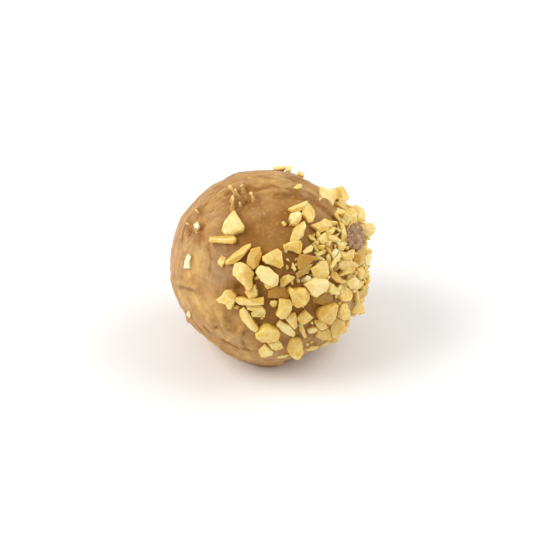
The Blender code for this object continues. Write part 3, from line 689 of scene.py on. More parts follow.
def back_pieces(placed):
    """Random spots in the patch, at least a gap from every piece already placed."""
    rng = np.random.default_rng(BACK_SEED)
    patch = unit(np.array(BACK_PATCH[0]))
    least = math.cos(math.radians(BACK_PATCH[1]))
    centres = [piece["centre"] for piece in placed]
    made = []
    for _ in range(BACK_TRIES):
        direction = unit(rng.normal(size=3))
        share, width_share, thick_share = rng.random(3)
        lean = BACK_LEAN * rng.normal(size=3)
        if direction @ patch < least or direction[2] > -BACK_LEAST_DEPTH:
            continue
        index = len(centres)
        long = np.interp(share, (0, 1), BACK_LONG)
        wide = long * np.interp(width_share, (0, 1), BACK_WIDE_SHARE)
        thick = max(wide * np.interp(thick_share, (0, 1), BACK_THICK_SHARE), BACK_LEAST_THICK)
        centre = direction * (coating_radius(direction[None, :])[0] + LIFT_SHARE * thick)
        if (FACE_TO_WORLD @ Vector(centre)).z < BACK_LEAST_HEIGHT:
            continue
        if min(np.linalg.norm(centre - other) for other in centres) < BACK_LEAST_GAP:
            continue
        centres.append(centre)
        rng_outline = np.random.default_rng(BACK_OUTLINE_SEED + index)
        outline = random_outline(rng_outline, long, wide)
        corners, _ = about_centroid(outline)
        placement = standing_frame(centre, unit(direction + lean))
        tone = BACK_TONES[index % len(BACK_TONES)]
        made.append(piece(index, corners, thick, SUNK, tone, placement))
    return made


nuts += back_pieces(nuts)
print(len(nuts), "nuts in all")

# %% [markdown]
# ### Crumbs, dust and splinters
# Chopping also leaves bits of a millimetre or less. They are too small for the packed solid, so
# they are here only. The larger ones have a row each, and the dust and the thin splinters between
# the crowded nuts are thrown at seeded random, with only ten sides each because there are so many.

# %% Crumbs and dust
CRUMB_THICK_SHARE = 0.8
CRUMB_LIFT = 0.1
CRUMB_SEED = 3000
DUST_SEED = 17
DUST_COUNT = 110
DUST_MIDDLE = (8.0, -1.0)
DUST_SPREAD = (5.0, 6.5)
DUST_LONG = (0.45, 1.0)
DUST_WIDE_SHARE = (0.4, 0.9)
DUST_TONE = (0.1, 0.7)
DUST_REACH = 1.9
DUST_FARTHEST = 15.0


def crumb(index, right, up, long, wide, turn, tone):
    """A piece too small for the packed solid, with a seeded outline of this size."""
    seed = CRUMB_SEED + index
    outline = random_outline(np.random.default_rng(seed), long, wide, math.radians(turn))
    corners, _ = about_centroid(outline)
    thick = CRUMB_THICK_SHARE * wide
    return face_piece(seed, CRUMB_LIFT, thick, tone, corners, np.array((right, up)))


def dust_rows():
    """Seeded crumbs between the nuts on the right: middle plus spread x normal numbers."""
    rng = np.random.default_rng(DUST_SEED)
    rows = []
    for _ in range(DUST_COUNT):
        right, up = np.array(DUST_MIDDLE) + np.array(DUST_SPREAD) * rng.normal(size=2)
        long = rng.uniform(*DUST_LONG)
        wide = long * rng.uniform(*DUST_WIDE_SHARE)
        turn = rng.uniform(0, 180)
        tone = rng.uniform(*DUST_TONE)
        nearest = min(np.linalg.norm(on_ball(right, up) - nut["centre"]) for nut in nuts)
        if math.hypot(right, up) < DUST_FARTHEST and nearest < DUST_REACH:
            rows.append((right, up, long, wide, turn, tone))
    return rows


crumbs = [crumb(index, *row) for index, row in enumerate([*CRUMBS, *dust_rows()])]
print(len(crumbs), "crumbs")

# %% Splinters
SHARD_SEED = 23
SHARD_SHAPE_SEED = 4000
SHARD_TRIES = 5000
# middle of the patch, and how far it goes in degrees
SHARD_PATCHES = (((0.95, 0.22, 0.1), 34.0), ((0.7, 0.1, 0.7), 21.0))
SHARD_LONG = (1.3, 2.9)
SHARD_WIDE = (0.5, 1.2)
SHARD_THICK = (0.3, 0.55)
SHARD_RISE = (0.05, 0.5)
SHARD_LEAN = 0.7
SHARD_GAP = 0.9
SHARD_KEEP_OFF = 0.78
SHARD_TONES = (0.15, 0.4, 0.3, 0.65, 0.1, 0.5, 0.35, 0.25)


def shards(placed):
    """Thin splinters wedged at all angles in the gaps between the nuts on the crowded side."""
    rng = np.random.default_rng(SHARD_SEED)
    patches = [
        (unit(np.array(middle)), math.cos(math.radians(reach))) for middle, reach in SHARD_PATCHES
    ]
    centres = np.array([piece["centre"] for piece in placed])
    keep_off = np.array([SHARD_KEEP_OFF * piece["reach"] for piece in placed])
    made = []
    for index in range(SHARD_TRIES):
        direction = unit(rng.normal(size=3))
        rise, long, wide, thick = (
            rng.uniform(*span) for span in (SHARD_RISE, SHARD_LONG, SHARD_WIDE, SHARD_THICK)
        )
        lean = SHARD_LEAN * rng.normal(size=3)
        if all(direction @ patch < least for patch, least in patches):
            continue
        centre = direction * (coating_radius(direction[None, :])[0] + rise)
        if (np.linalg.norm(centres - centre, axis=1) < keep_off).any():
            continue
        centres = np.concatenate((centres, centre[None]))
        keep_off = np.append(keep_off, SHARD_GAP)
        corners, _ = about_centroid(random_outline(rng, long, wide))
        placement = standing_frame(centre, unit(direction + lean))
        tone = SHARD_TONES[len(made) % len(SHARD_TONES)]
        made.append(piece(SHARD_SHAPE_SEED + index, corners, thick, SUNK, tone, placement))
    return made


splinters = shards(nuts)
crumbs += splinters
print(len(splinters), "splinters")

# %% [markdown]
# ## The coating's surface
# Finer marks go on top of the broad forms: strokes that run round the rim, thin veins where the
# skin of the chocolate wrinkled as it set, pimples and pores, a rough crater where the ball was
# lifted, and a low collar round each nut. They are real geometry, because the light rakes across
# them.

# %% Tables of the fine marks
# Raised lines: spread, height, points (right, up)
FINE_LINES = (
    (0.28, 0.16, ((-15.6, -2.3), (-13.7, -2.8), (-11.4, -3.4))),
    (0.24, 0.24, ((-11.0, 4.8), (-10.3, 3.2), (-10.0, 1.4))),
    (0.22, 0.2, ((-11.1, 4.9), (-11.4, 3.4), (-11.6, 1.8))),
    (0.22, 0.2, ((-11.2, 5.0), (-12.4, 3.9), (-13.4, 3.2))),
    (0.24, 0.22, ((-9.9, 5.0), (-8.6, 3.4), (-8.0, 2.4), (-6.6, 1.6))),
    (0.22, 0.16, ((-7.0, 5.2), (-5.2, 3.0), (-5.2, 1.8))),
    (0.4, 0.4, ((-3.7, -9.3), (-4.3, -10.4), (-5.2, -11.6), (-6.6, -12.2))),
    (0.35, 0.3, ((-4.3, -10.4), (-3.2, -10.0))),
    (0.6, 0.3, ((-8.0, -7.0), (-7.2, -8.6), (-6.9, -9.8), (-6.2, -10.9))),
    (0.7, 0.22, ((-9.2, -5.6), (-9.6, -7.6), (-9.0, -9.4), (-7.4, -11.4))),
    (0.25, 0.22, ((6.6, 5.3), (8.8, 5.4))),
    (0.3, 0.25, ((2.4, 0.6), (3.4, -0.6), (4.6, -1.2))),
    (0.22, 0.14, ((-1.0, 15.9), (3.5, 15.7), (6.2, 13.7))),
    (0.25, 0.16, ((-14.4, -4.4), (-13.2, -6.2), (-11.8, -7.4))),
    (0.22, 0.12, ((-13.6, -4.8), (-12.2, -6.9), (-10.4, -8.2))),
    (0.24, 0.12, ((-9.6, -1.0), (-8.2, -2.6), (-7.4, -3.0), (-7.5, -4.6))),
    (0.26, 0.14, ((-9.8, -9.4), (-9.2, -11.2), (-7.6, -12.2))),
    (0.3, 0.18, ((-2.6, 14.6), (0.6, 15.4), (3.2, 15.0))),
    (0.4, 0.2, ((2.4, 12.9), (4.8, 13.2), (8.0, 12.4))),
)

# Creases: spread, depth, points
CREASES = (
    (0.45, 0.24, ((1.5, 11.4), (4.0, 11.6), (6.5, 11.1), (9.3, 9.6), (11.0, 7.9))),
    (0.4, 0.2, ((-2.7, 12.6), (1.0, 13.5), (4.7, 11.9))),
    (0.3, 0.16, ((-0.7, 15.0), (4.0, 14.6), (6.5, 12.7))),
    (0.3, 0.13, ((-8.8, 12.7), (-5.2, 15.3))),
    (0.3, 0.13, ((-10.2, 10.2), (-7.3, 13.2))),
    (0.32, 0.15, ((-12.7, 8.5), (-13.7, 6.4), (-14.3, 4.3))),
    (0.3, 0.15, ((-15.2, -4.0), (-12.7, -8.7), (-11.0, -10.7))),
    (0.4, 0.2, ((-10.4, -10.2), (-7.2, -12.4), (-3.8, -13.8))),
    (0.3, 0.15, ((-15.6, -2.9), (-13.6, -3.6), (-11.6, -4.2))),
    (0.28, 0.15, ((-6.8, -8.3), (-6.7, -9.5), (-5.9, -10.2))),
    (0.35, 0.16, ((-3.6, -10.6), (-4.2, -12.4), (-3.0, -14.0))),
    (0.3, 0.14, ((-9.6, 3.6), (-9.0, 1.2), (-9.4, -1.4))),
)

# Pits and pimples with a place of their own: right, up, spread, height
MARKS = (
    (-12.8, 5.6, 0.55, -0.55),
    (-10.9, 6.3, 0.5, -0.5),
    (-13.1, 6.9, 0.3, 0.22),
    (-11.3, 9.4, 0.25, 0.2),
    (-11.0, 8.6, 0.25, 0.14),
    (-8.5, -10.3, 0.4, -0.3),
    (-8.1, -9.9, 0.25, -0.25),
    (-1.0, 15.0, 0.22, -0.2),
    (-9.0, 9.3, 0.2, -0.16),
    (9.3, 11.8, 0.22, -0.18),
    (-4.5, -3.5, 0.6, -0.35),
    (-11.4, -3.4, 0.35, 0.16),
    (-8.8, -2.6, 0.22, 0.1),
    (-4.9, -11.4, 0.22, 0.14),
    (-13.3, -9.4, 0.6, 0.2),
    (-4.65, 12.0, 0.3, -0.35),
    (-4.7, 10.9, 0.3, -0.25),
    (-4.2, 9.6, 0.25, -0.2),
    (-3.0, 10.9, 0.3, -0.2),
    (-6.5, 12.0, 0.35, -0.15),
    (-2.9, 13.1, 0.4, -0.15),
    (-3.57, 11.2, 0.2, 0.25),
    (-2.95, 11.0, 0.18, 0.22),
    (-2.6, 10.3, 0.2, 0.25),
    (-1.2, 10.0, 0.18, 0.18),
    (-4.8, 9.9, 0.2, 0.22),
    (-3.9, 10.4, 0.3, -0.25),
    (-3.3, 10.4, 0.25, 0.2),
)

# Threads: radius at the foot, radius of the neck, swelling of the tip, points (right, up, height)
THREADS = (
    (0.7, 0.15, 0.15, ((-5.1, 11.95, -0.8), (-5.35, 12.15, 0.4), (-5.85, 12.6, 1.0))),
    (0.7, 0.16, 0.15, ((-3.85, 12.5, -0.7), (-3.85, 12.6, 0.4), (-3.9, 12.75, 1.0))),
    (0.7, 0.18, 0.03, ((-4.9, 11.9, -0.9), (-4.95, 12.1, 0.25), (-5.0, 12.35, 0.6))),
    (0.5, 0.13, 0.1, ((-5.3, 8.3, 0.6), (-5.3, 9.3, 1.1), (-5.3, 10.3, 0.8), (-5.3, 11.1, 1.1))),
    (0.7, 0.14, 0.0, ((-5.9, 10.5, -0.9), (-5.8, 10.8, 0.1), (-5.45, 11.3, 0.4))),
    (0.7, 0.15, 0.14, ((-2.0, 10.6, -0.9), (-2.2, 10.95, 0.35), (-2.5, 11.45, 1.0))),
    (0.3, 0.1, 0.0, ((-11.6, 6.2, 0.2), (-11.3, 5.4, 0.05), (-10.8, 4.6, -0.3))),
    (0.7, 0.14, 0.05, ((-11.1, 8.6, -0.9), (-11.15, 8.8, 0.1), (-11.4, 9.2, 0.35))),
    (0.7, 0.16, 0.04, ((-12.7, 6.85, -0.9), (-12.75, 6.9, 0.1), (-12.95, 7.0, 0.35))),
    (0.7, 0.14, 0.05, ((-4.3, 10.0, -0.9), (-4.3, 10.1, 0.1), (-4.35, 10.4, 0.35))),
)
print(len(FINE_LINES), "lines,", len(CREASES), "creases,", len(MARKS), "marks")
# %% Strokes and veins
STROKE_WARP = 0.8
STROKE_LENGTH = 2.2
RIM_FROM, RIM_WIDTH = 13.5, 1.5
FRONT_TO, FRONT_WIDTH = 28.0, 2.0
UPPER_FROM, UPPER_WIDTH = 3.0, 3.0
# size, seed, strength
FINE_STROKES = ((0.85, 32, 1.0), (0.42, 33, 0.6))
VEIN_BEND = 0.5 / BALL_RADIUS
VEIN_BEND_SIZE = 1.6


def strokes(directions):
    """Noise stretched along circles round the face's middle: long that way, fine across it. It is
    full at the upper rim, and fades by soft steps on the middle, the lower half and the back.
    """
    points = directions * BALL_RADIUS
    from_middle = np.arccos(np.clip(directions[:, 2], -1.0, 1.0)) * BALL_RADIUS
    heading = np.arctan2(directions[:, 1], directions[:, 0])
    warp = STROKE_WARP * smooth_noise(points, 4.0, 31)
    along = np.stack((from_middle + warp, heading * STROKE_LENGTH, 0.0 * heading), axis=1)
    rim = soft_step(from_middle, RIM_FROM, RIM_WIDTH)
    front = 1.0 - 0.55 * soft_step(from_middle, FRONT_TO, FRONT_WIDTH)
    upper = 0.4 + 0.6 * soft_step(points[:, 1], UPPER_FROM, UPPER_WIDTH)
    fine = sum(strength * smooth_noise(along, size, seed) for size, seed, strength in FINE_STROKES)
    return fine * rim * front * upper


def veins(directions, size, seed, width):
    """Thin lines where slow noise crosses zero: bell(noise / width)."""
    points = bent(directions, VEIN_BEND, VEIN_BEND_SIZE, seed + 1) * BALL_RADIUS
    return bell(smooth_noise(points, size, seed), width)


print("strongest stroke:", strokes(coarse_ball).max().round(2))


# %% Pimples, collars and waves
SPECK_WIDTHS = (0.7, 1.4)
SPECK_HEIGHTS = (0.5, 1.3)
SPECK_REACH = 3.0
COLLAR_HEIGHT = 0.22
COLLAR_REACH = 1.1
SMOOTH_PLACE = (1.0, 6.0)
SMOOTH_SPREAD = 6.0
SMOOTH_SHARE = 0.6
SKIN_DROP = 0.12
# size, seed, height
WAVES = ((4.5, 11, 0.12), (2.0, 12, 0.09), (0.9, 13, 0.04))


def scattered(directions, count, seed, spread, height):
    """Many small bells of about this spread and height, at seeded spots all over the ball."""
    rng = np.random.default_rng(seed)
    total = np.zeros(len(directions))
    for spot in unit(rng.normal(size=(count, 3))):
        wide = spread * rng.uniform(*SPECK_WIDTHS)
        near = directions @ spot > math.cos(SPECK_REACH * wide / BALL_RADIUS)
        gap = np.linalg.norm((directions[near] - spot) * BALL_RADIUS, axis=1)
        total[near] += height * rng.uniform(*SPECK_HEIGHTS) * bell(gap, wide)
    return total


def gap_to(directions, piece):
    """Straight distance from each point of the ball to the spot under a piece's centre."""
    return np.linalg.norm((directions - unit(piece["centre"])) * BALL_RADIUS, axis=1)


def collars(directions, pieces):
    """Chocolate drawn up round the pieces: the highest of their bells, each a little wider."""
    total = np.zeros(len(directions))
    for piece in pieces:
        around = bell(gap_to(directions, piece), COLLAR_REACH * piece["reach"])
        total = np.maximum(total, COLLAR_HEIGHT * around)
    return total


def smooth_centre(directions):
    """One in the middle of the upper face, where the coating is plain."""
    return swell(directions, *on_ball(*SMOOTH_PLACE), SMOOTH_SPREAD, 1.0)


def waves(directions):
    """The uneven skin between the marks: three sizes of noise, less a small drop."""
    points = directions * BALL_RADIUS
    total = sum(height * smooth_noise(points, size, seed) for size, seed, height in WAVES)
    return total * (1.0 - SMOOTH_SHARE * smooth_centre(directions)) - SKIN_DROP


print("highest collar:", collars(coarse_ball, nuts).max().round(2), "mm")

# %% All the fine marks together
STROKE_STRENGTH = 0.11
VEIN_HEIGHT = 0.12
VEIN_SIZE, VEIN_SEED, VEIN_WIDTH = 3.4, 41, 0.05
LINE_WIGGLE = 0.022
LINE_WIGGLE_SIZE = 1.8
CRATER = (-3.8, 10.8, 1.5)
CRATER_ROUGHNESS = 0.4
CRATER_DEPTH = 0.22
# how many, seed, spread, height
SPECKS = ((300, 61, 0.17, 0.07), (200, 62, 0.14, -0.08))


def round_threads(directions, spread):
    """One along each thread's path over the coating, and a bell of this spread round it."""
    near = np.zeros(len(directions))
    for *_, places in THREADS:
        feet = [place[:2] for place in places]
        near = np.maximum(near, bell(line_distance(directions, feet), spread))
    return near


def fine_marks(directions):
    """The sum of strokes, veins, lines, pits, crater, pimples and pores."""
    points = directions * BALL_RADIUS
    total = STROKE_STRENGTH * strokes(directions)
    uneven = 0.5 + smooth_noise(points, 5.0, 45)
    total += VEIN_HEIGHT * veins(directions, VEIN_SIZE, VEIN_SEED, VEIN_WIDTH) * uneven
    shaken = bent(directions, LINE_WIGGLE, LINE_WIGGLE_SIZE, 46)
    for spread, height, line in FINE_LINES:
        total += height * bell(line_distance(shaken, line), spread)
    for spread, depth, line in CREASES:
        total -= depth * bell(line_distance(shaken, line), spread)
    for right, up, spread, height in MARKS:
        total += swell(directions, *on_ball(right, up), spread, height)
    right, up, spread = CRATER
    crater = swell(directions, *on_ball(right, up), spread, 1.0)
    total += crater * (CRATER_ROUGHNESS * layered_noise(points, 0.75, 51) - CRATER_DEPTH)
    for row in SPECKS:
        total += scattered(directions, *row)
    return total


sample = fine_marks(coarse_ball)
print("marks on the coarse ball, from", sample.min().round(2), "to", sample.max().round(2), "mm")

# %% The coating's points
COATING_CELLS = 126
THREAD_RISE_SPREAD = 0.35
THREAD_RISE_HEIGHT = 0.25

directions, coating_quads = ball_grid(COATING_CELLS)
marks = fine_marks(directions)
raised = THREAD_RISE_HEIGHT * round_threads(directions, THREAD_RISE_SPREAD)
raised += collars(directions, nuts)
reach = coating_radius(directions) + waves(directions) + marks + raised
coating_points = to_world(directions * reach[:, None])
coating_points[:, 2] = np.maximum(coating_points[:, 2], 0.0)
print(len(coating_points), "points, marks", marks.min().round(2), "to", marks.max().round(2), "mm")

# %% [markdown]
# ## Colours of the coating
# The chocolate isn't one colour: it is a warm caramel, creamier and yellower in patches where
# cocoa butter has gathered, greyer and pinker in patches away from the plain middle, and deeper in
# the middle of the face, partly as painted shade. More of it is painted light and shade: painted
# shade in hollows, pits and beside the lips, between the nuts and round the threads' feet, and a
# painted highlight on crests, on the lips' tops, along the lower-left rim and on the threads' tips.
# Five numbers on each point, worked out from named patches and slow noise, say how much of each
# there is. The shader only mixes the colours, so the pattern can't slide.

# %% Tables of the patches
# right, up, spread, strength
CREAM_AND_HIGHLIGHT_PATCHES = (
    (-11.2, 1.5, 1.9, 0.8),
    (-11.0, -0.6, 1.4, 0.4),
    (-13.0, -1.5, 1.3, 0.6),
    (-11.7, -5.6, 1.5, 0.95),
    (-9.6, -8.2, 1.2, 0.5),
    (-1.2, 13.4, 1.6, 0.8),
    (2.0, 13.9, 1.5, 0.5),
    (-5.1, -8.8, 1.2, 0.7),
    (-10.4, 9.2, 1.8, 0.35),
    (-7.5, 12.3, 1.6, 0.4),
    # the next four are painted highlight along the lower-left rim
    (-11.2, -11.3, 1.1, 0.9),
    (-9.4, -12.8, 1.1, 1.0),
    (-7.4, -14.2, 1.1, 1.0),
    (-5.4, -15.2, 0.9, 0.9),
    (-4.0, -14.5, 1.8, 0.4),
    (-5.5, 12.6, 0.8, 0.5),
    (5.0, 12.0, 1.8, 0.3),
    (-14.6, -4.5, 1.7, 0.65),
)
MAUVE_PATCHES = (
    (-6.6, 0.0, 2.2, 0.8),
    (-7.6, -1.4, 2.8, 0.8),
    (-6.6, 3.0, 1.6, 0.7),
    (-12.8, 5.6, 0.8, 0.6),
    (-8.6, 8.2, 2.2, 0.55),
    (4.5, -1.5, 1.2, 0.3),
    (8.5, -13.2, 1.6, 0.6),
    (7.0, 15.0, 1.8, 0.9),
    (4.3, 15.0, 1.8, 0.8),
    (-5.0, -12.5, 2.2, 0.4),
    (-13.4, -9.6, 0.9, 0.6),
)
# Deeper caramel, and painted shade on the middle of the face, the nut side, the crater and the pits
DEEP_AND_SHADE_PATCHES = (
    (0.8, 6.2, 4.4, 0.65),
    (-3.0, 4.2, 2.6, 0.6),
    (5.4, 14.6, 1.8, 0.95),
    (-3.4, 12.7, 0.9, 0.5),
    (3.4, 8.4, 2.0, 0.7),
    (2.0, -6.0, 5.0, 0.9),
    (8.0, 2.0, 5.0, 0.9),
    (8.0, -7.0, 5.0, 0.5),
    (-3.3, 10.8, 1.4, 0.6),
    (-4.5, -3.4, 1.0, 0.9),
    (-10.8, 6.4, 0.55, 1.0),
    (-12.8, 5.7, 0.5, 0.6),
    (-8.4, -10.2, 0.6, 1.0),
    (-2.0, -14.4, 1.6, 0.4),
    (-8.2, -9.6, 3.2, 0.3),
    (-3.6, 6.2, 1.6, 0.6),
    (3.0, 10.9, 1.6, 0.5),
    (7.6, 10.2, 1.6, 0.5),
)
print("cream, mauve and deep patches:", len(CREAM_AND_HIGHLIGHT_PATCHES), len(MAUVE_PATCHES), len(DEEP_AND_SHADE_PATCHES))


# %% How much of each colour
PATCH_NOISE_SIZE = 5.0
RAGGED = 0.03
RAGGED_SIZE = 1.6
# These set the painted shade between the nuts
CROWDING = 0.9
CROWD_REACH = 1.7
CROWD_FREE = 0.2
CREST_HEIGHT = 0.16
HOLLOW_DEPTH = 0.14
THREAD_SHADE_SPREAD = 1.2
THREAD_SHADE = 0.9
# A band of painted highlight along the lower-left rim
# spread, strength, points
LOWER_RIM_HIGHLIGHT = (0.45, 0.6, ((-11.4, -11.2), (-9.3, -13.1), (-7.2, -14.4), (-5.0, -15.3)))


def patches(directions, rows, seed, strength):
    """The sum of the rows' bells, with ragged edges, plus slow noise, kept between 0 and 1."""
    points = directions * BALL_RADIUS
    total = strength * np.maximum(layered_noise(points, PATCH_NOISE_SIZE, seed), 0.0)
    ragged = bent(directions, RAGGED, RAGGED_SIZE, seed + 5, 2)
    for right, up, spread, height in rows:
        total += swell(ragged, *on_ball(right, up), spread, height)
    return np.clip(total, 0.0, 1.0)


def between(directions, pieces):
    """How crowded a spot is, for painted shade: 1 - exp(-the sum of bells round the pieces)."""
    total = np.zeros(len(directions))
    for piece in pieces:
        total += CROWDING * bell(gap_to(directions, piece), CROWD_REACH * piece["reach"])
    return 1.0 - np.exp(-np.maximum(total - CROWD_FREE, 0.0))


def lips(directions, wider):
    """One on the crest of a lip, fading over this many of its spreads."""
    return sum(bell(line_distance(directions, line), wider * spread) for spread, _, line in RIDGES)


# Painted highlight on raised marks, painted shade in sunken ones
crest = np.clip(marks / CREST_HEIGHT, 0.0, 1.0)
hollow_shade = np.clip(-marks / HOLLOW_DEPTH, 0.0, 1.0)
tones = {
    "cream": patches(directions, CREAM_AND_HIGHLIGHT_PATCHES, 71, 0.45) + 0.55 * crest,
    "mauve": patches(directions, MAUVE_PATCHES, 81, 0.5) * (1.0 - smooth_centre(directions)),
    "deep": patches(directions, DEEP_AND_SHADE_PATCHES, 91, 0.15) + 0.9 * hollow_shade,
}
# Painted highlight on the lips' crests, and painted shade over a wider band round them
tones["cream"] += 0.4 * lips(directions, 0.6)
tones["deep"] += 0.3 * lips(directions, 1.7)
# Painted shade round the threads' feet
thread_shade = THREAD_SHADE * round_threads(directions, THREAD_SHADE_SPREAD)
tones["deep"] += thread_shade
tones["cream"] -= thread_shade
# Painted highlight along the lower-left rim
spread, strength, line = LOWER_RIM_HIGHLIGHT
tones["drop"] = strength * bell(line_distance(directions, line), spread)
tones = {name: np.clip(values, 0.0, 1.0) for name, values in tones.items()}
tones["between"] = between(directions, nuts)
print({name: round(float(values.mean()), 2) for name, values in tones.items()})


# %% [markdown]
# ## Materials
# Each material is one Principled shader. A small helper adds a node and links what is given to it,
# which keeps a shader readable from top to bottom. Textures read Object coordinates, in metres, so
# a pattern's scale is one over its size.

# %% Helpers for shaders
class Shader:
    """A material's node tree, with short calls that add a node and link what is given to it."""

    def __init__(self, name):
        self.material = bpy.data.materials.new(name)
        self.material.use_nodes = True
        self.tree = self.material.node_tree
        self.principled = self.tree.nodes["Principled BSDF"]

    def put(self, socket, value):
        """Links a socket to this one, or writes a plain value straight on it."""
        if isinstance(value, bpy.types.NodeSocket):
            self.tree.links.new(value, socket)
        else:
            socket.default_value = value

    def set(self, **values):
        """Sets inputs of the Principled shader by name, with _ for a space."""
        for name, value in values.items():
            self.put(self.principled.inputs[name.replace("_", " ")], value)

    def attribute(self, name):
        """A number stored on the mesh's points."""
        node = self.tree.nodes.new("ShaderNodeAttribute")
        node.attribute_name = name
        return node.outputs["Fac"]

    def noise(self, size_mm, detail):
        """Noise of this size on the object's own coordinates: scale = 1 / size in metres."""
        place = self.tree.nodes.new("ShaderNodeTexCoord")
        node = self.tree.nodes.new("ShaderNodeTexNoise")
        node.inputs["Scale"].default_value = 1.0 / (size_mm * MM)
        node.inputs["Detail"].default_value = detail
        self.put(node.inputs["Vector"], place.outputs["Object"])
        return node.outputs["Fac"]

    def spread(self, value, low, high, to_low=0.0, to_high=1.0):
        """The value's stretch from low to high, moved to another stretch and held inside it."""
        node = self.tree.nodes.new("ShaderNodeMapRange")
        self.put(node.inputs["Value"], value)
        names = ("From Min", "From Max", "To Min", "To Max")
        for name, number in zip(names, (low, high, to_low, to_high)):
            node.inputs[name].default_value = number
        return node.outputs["Result"]

    def mix(self, share, first, second):
        """A colour this share of the way from the first to the second."""
        node = self.tree.nodes.new("ShaderNodeMix")
        node.data_type = "RGBA"
        self.put(node.inputs["Factor"], share)
        self.put(node.inputs[6], first)
        self.put(node.inputs[7], second)
        return node.outputs[2]

    def times(self, first, second):
        """The first number times the second."""
        node = self.tree.nodes.new("ShaderNodeMath")
        node.operation = "MULTIPLY"
        self.put(node.inputs[0], first)
        self.put(node.inputs[1], second)
        return node.outputs[0]

    def bump(self, height, depth_mm, before=None):
        """Light bent as if the surface rose by height x depth, on top of another bump if given."""
        node = self.tree.nodes.new("ShaderNodeBump")
        node.inputs["Distance"].default_value = depth_mm * MM
        self.put(node.inputs["Height"], height)
        if before is not None:
            self.put(node.inputs["Normal"], before)
        return node.outputs["Normal"]


print("shader helpers:", ", ".join(name for name in vars(Shader) if not name.startswith("_")))

# %% Colours as linear numbers
def linear(red, green, blue):
    """A colour as an artist's 0 to 255 numbers, made linear by ((c + 0.055) / 1.055)^2.4."""
    values = np.array((red, green, blue)) / 255.0
    curve = np.where(values <= 0.04045, values / 12.92, ((values + 0.055) / 1.055) ** 2.4)
    return (*map(float, curve), 1.0)


print("a middle grey, linear:", round(linear(128, 128, 128)[0], 3))

# %% Coating material
CARAMEL = linear(190, 143, 86)
# creamy yellow, and painted highlight
CREAM_AND_HIGHLIGHT = linear(227, 186, 111)
MAUVE = linear(188, 152, 111)
# a deeper caramel, and painted shade
DEEP_CARAMEL_AND_SHADE = linear(150, 99, 40)
# painted shade between the nuts
SHADE_BETWEEN_NUTS = linear(132, 86, 16)
DARK_MOTTLE = linear(146, 102, 50)
PALE_MOTTLE = linear(212, 170, 106)
# painted highlight for the lower-left rim and the threads' tips
PAINTED_HIGHLIGHT = linear(252, 222, 150)
# sizes and depths of the textures, in mm
MOTTLE_SIZE, PALE_SIZE, GAP_SIZE = 1.3, 0.6, 2.2
GLOSS_SIZE, WAVE_SIZE, GRAIN_SIZE = 0.9, 0.9, 0.2
WAVE_DEPTH, GRAIN_DEPTH = 0.07, 0.02


def coating_material():
    """The stored numbers mix the colours, some of them painted light and shade, two mottles and a
    satin skin.
    """
    shader = Shader("coating")
    # creamy patches, and painted highlight
    colour = shader.mix(shader.attribute("cream"), CARAMEL, CREAM_AND_HIGHLIGHT)
    colour = shader.mix(shader.attribute("mauve"), colour, MAUVE)
    # deeper caramel, and painted shade
    colour = shader.mix(shader.attribute("deep"), colour, DEEP_CARAMEL_AND_SHADE)
    mottle = shader.spread(shader.noise(MOTTLE_SIZE, 5.0), 0.38, 0.65, 0.0, 0.45)
    colour = shader.mix(mottle, colour, DARK_MOTTLE)
    pale = shader.spread(shader.noise(PALE_SIZE, 4.0), 0.52, 0.7, 0.0, 0.35)
    colour = shader.mix(pale, colour, PALE_MOTTLE)
    # painted shade between the nuts, uneven by slow noise
    uneven = shader.spread(shader.noise(GAP_SIZE, 3.0), 0.36, 0.6, 0.4, 0.85)
    colour = shader.mix(shader.times(shader.attribute("between"), uneven), colour, SHADE_BETWEEN_NUTS)
    # painted highlight on the lower-left rim and the threads' tips
    colour = shader.mix(shader.attribute("drop"), colour, PAINTED_HIGHLIGHT)
    roughness = shader.spread(shader.noise(GLOSS_SIZE, 3.0), 0.3, 0.7, 0.36, 0.5)
    waves = shader.bump(shader.noise(WAVE_SIZE, 4.0), WAVE_DEPTH)
    grain = shader.bump(shader.noise(GRAIN_SIZE, 2.0), GRAIN_DEPTH, waves)
    shader.set(Base_Color=colour, Roughness=roughness, Normal=grain)
    shader.set(Subsurface_Weight=0.12, Subsurface_Scale=0.0012, IOR=1.46, Specular_IOR_Level=0.22)
    shader.set(Sheen_Weight=0.1, Sheen_Roughness=0.4, Sheen_Tint=linear(255, 226, 176))
    shader.principled.inputs["Subsurface Radius"].default_value = (1.0, 0.5, 0.25)
    return shader.material


chocolate = coating_material()
print("coating material:", len(chocolate.node_tree.nodes), "nodes")

# %% Nut materials
WHITISH = linear(246, 229, 192)
PALE = linear(249, 230, 166)
OLIVE_GOLD = linear(230, 200, 90)
ORANGE_GOLD = linear(238, 194, 78)
OLIVE_AMBER = linear(164, 126, 36)
ORANGE_AMBER = linear(196, 138, 48)
# dark gold for some broken faces, and painted shade low on each piece
DARK_GOLD_AND_SHADE = linear(210, 160, 62)
# painted glow near the outline
GLOW = linear(248, 216, 118)
# painted glints
GLINT = linear(255, 250, 222)
CLOUD = linear(228, 186, 70)
# painted highlight along the edges between breaks
EDGE_HIGHLIGHT = linear(255, 244, 194)
# sizes and depths of the textures, in mm
CLOUD_SIZE, GLINT_SIZE, NUT_GLOSS_SIZE = 1.9, 0.5, 0.5
DIMPLE_SIZE, DIMPLE_DEPTH = 0.5, 0.06


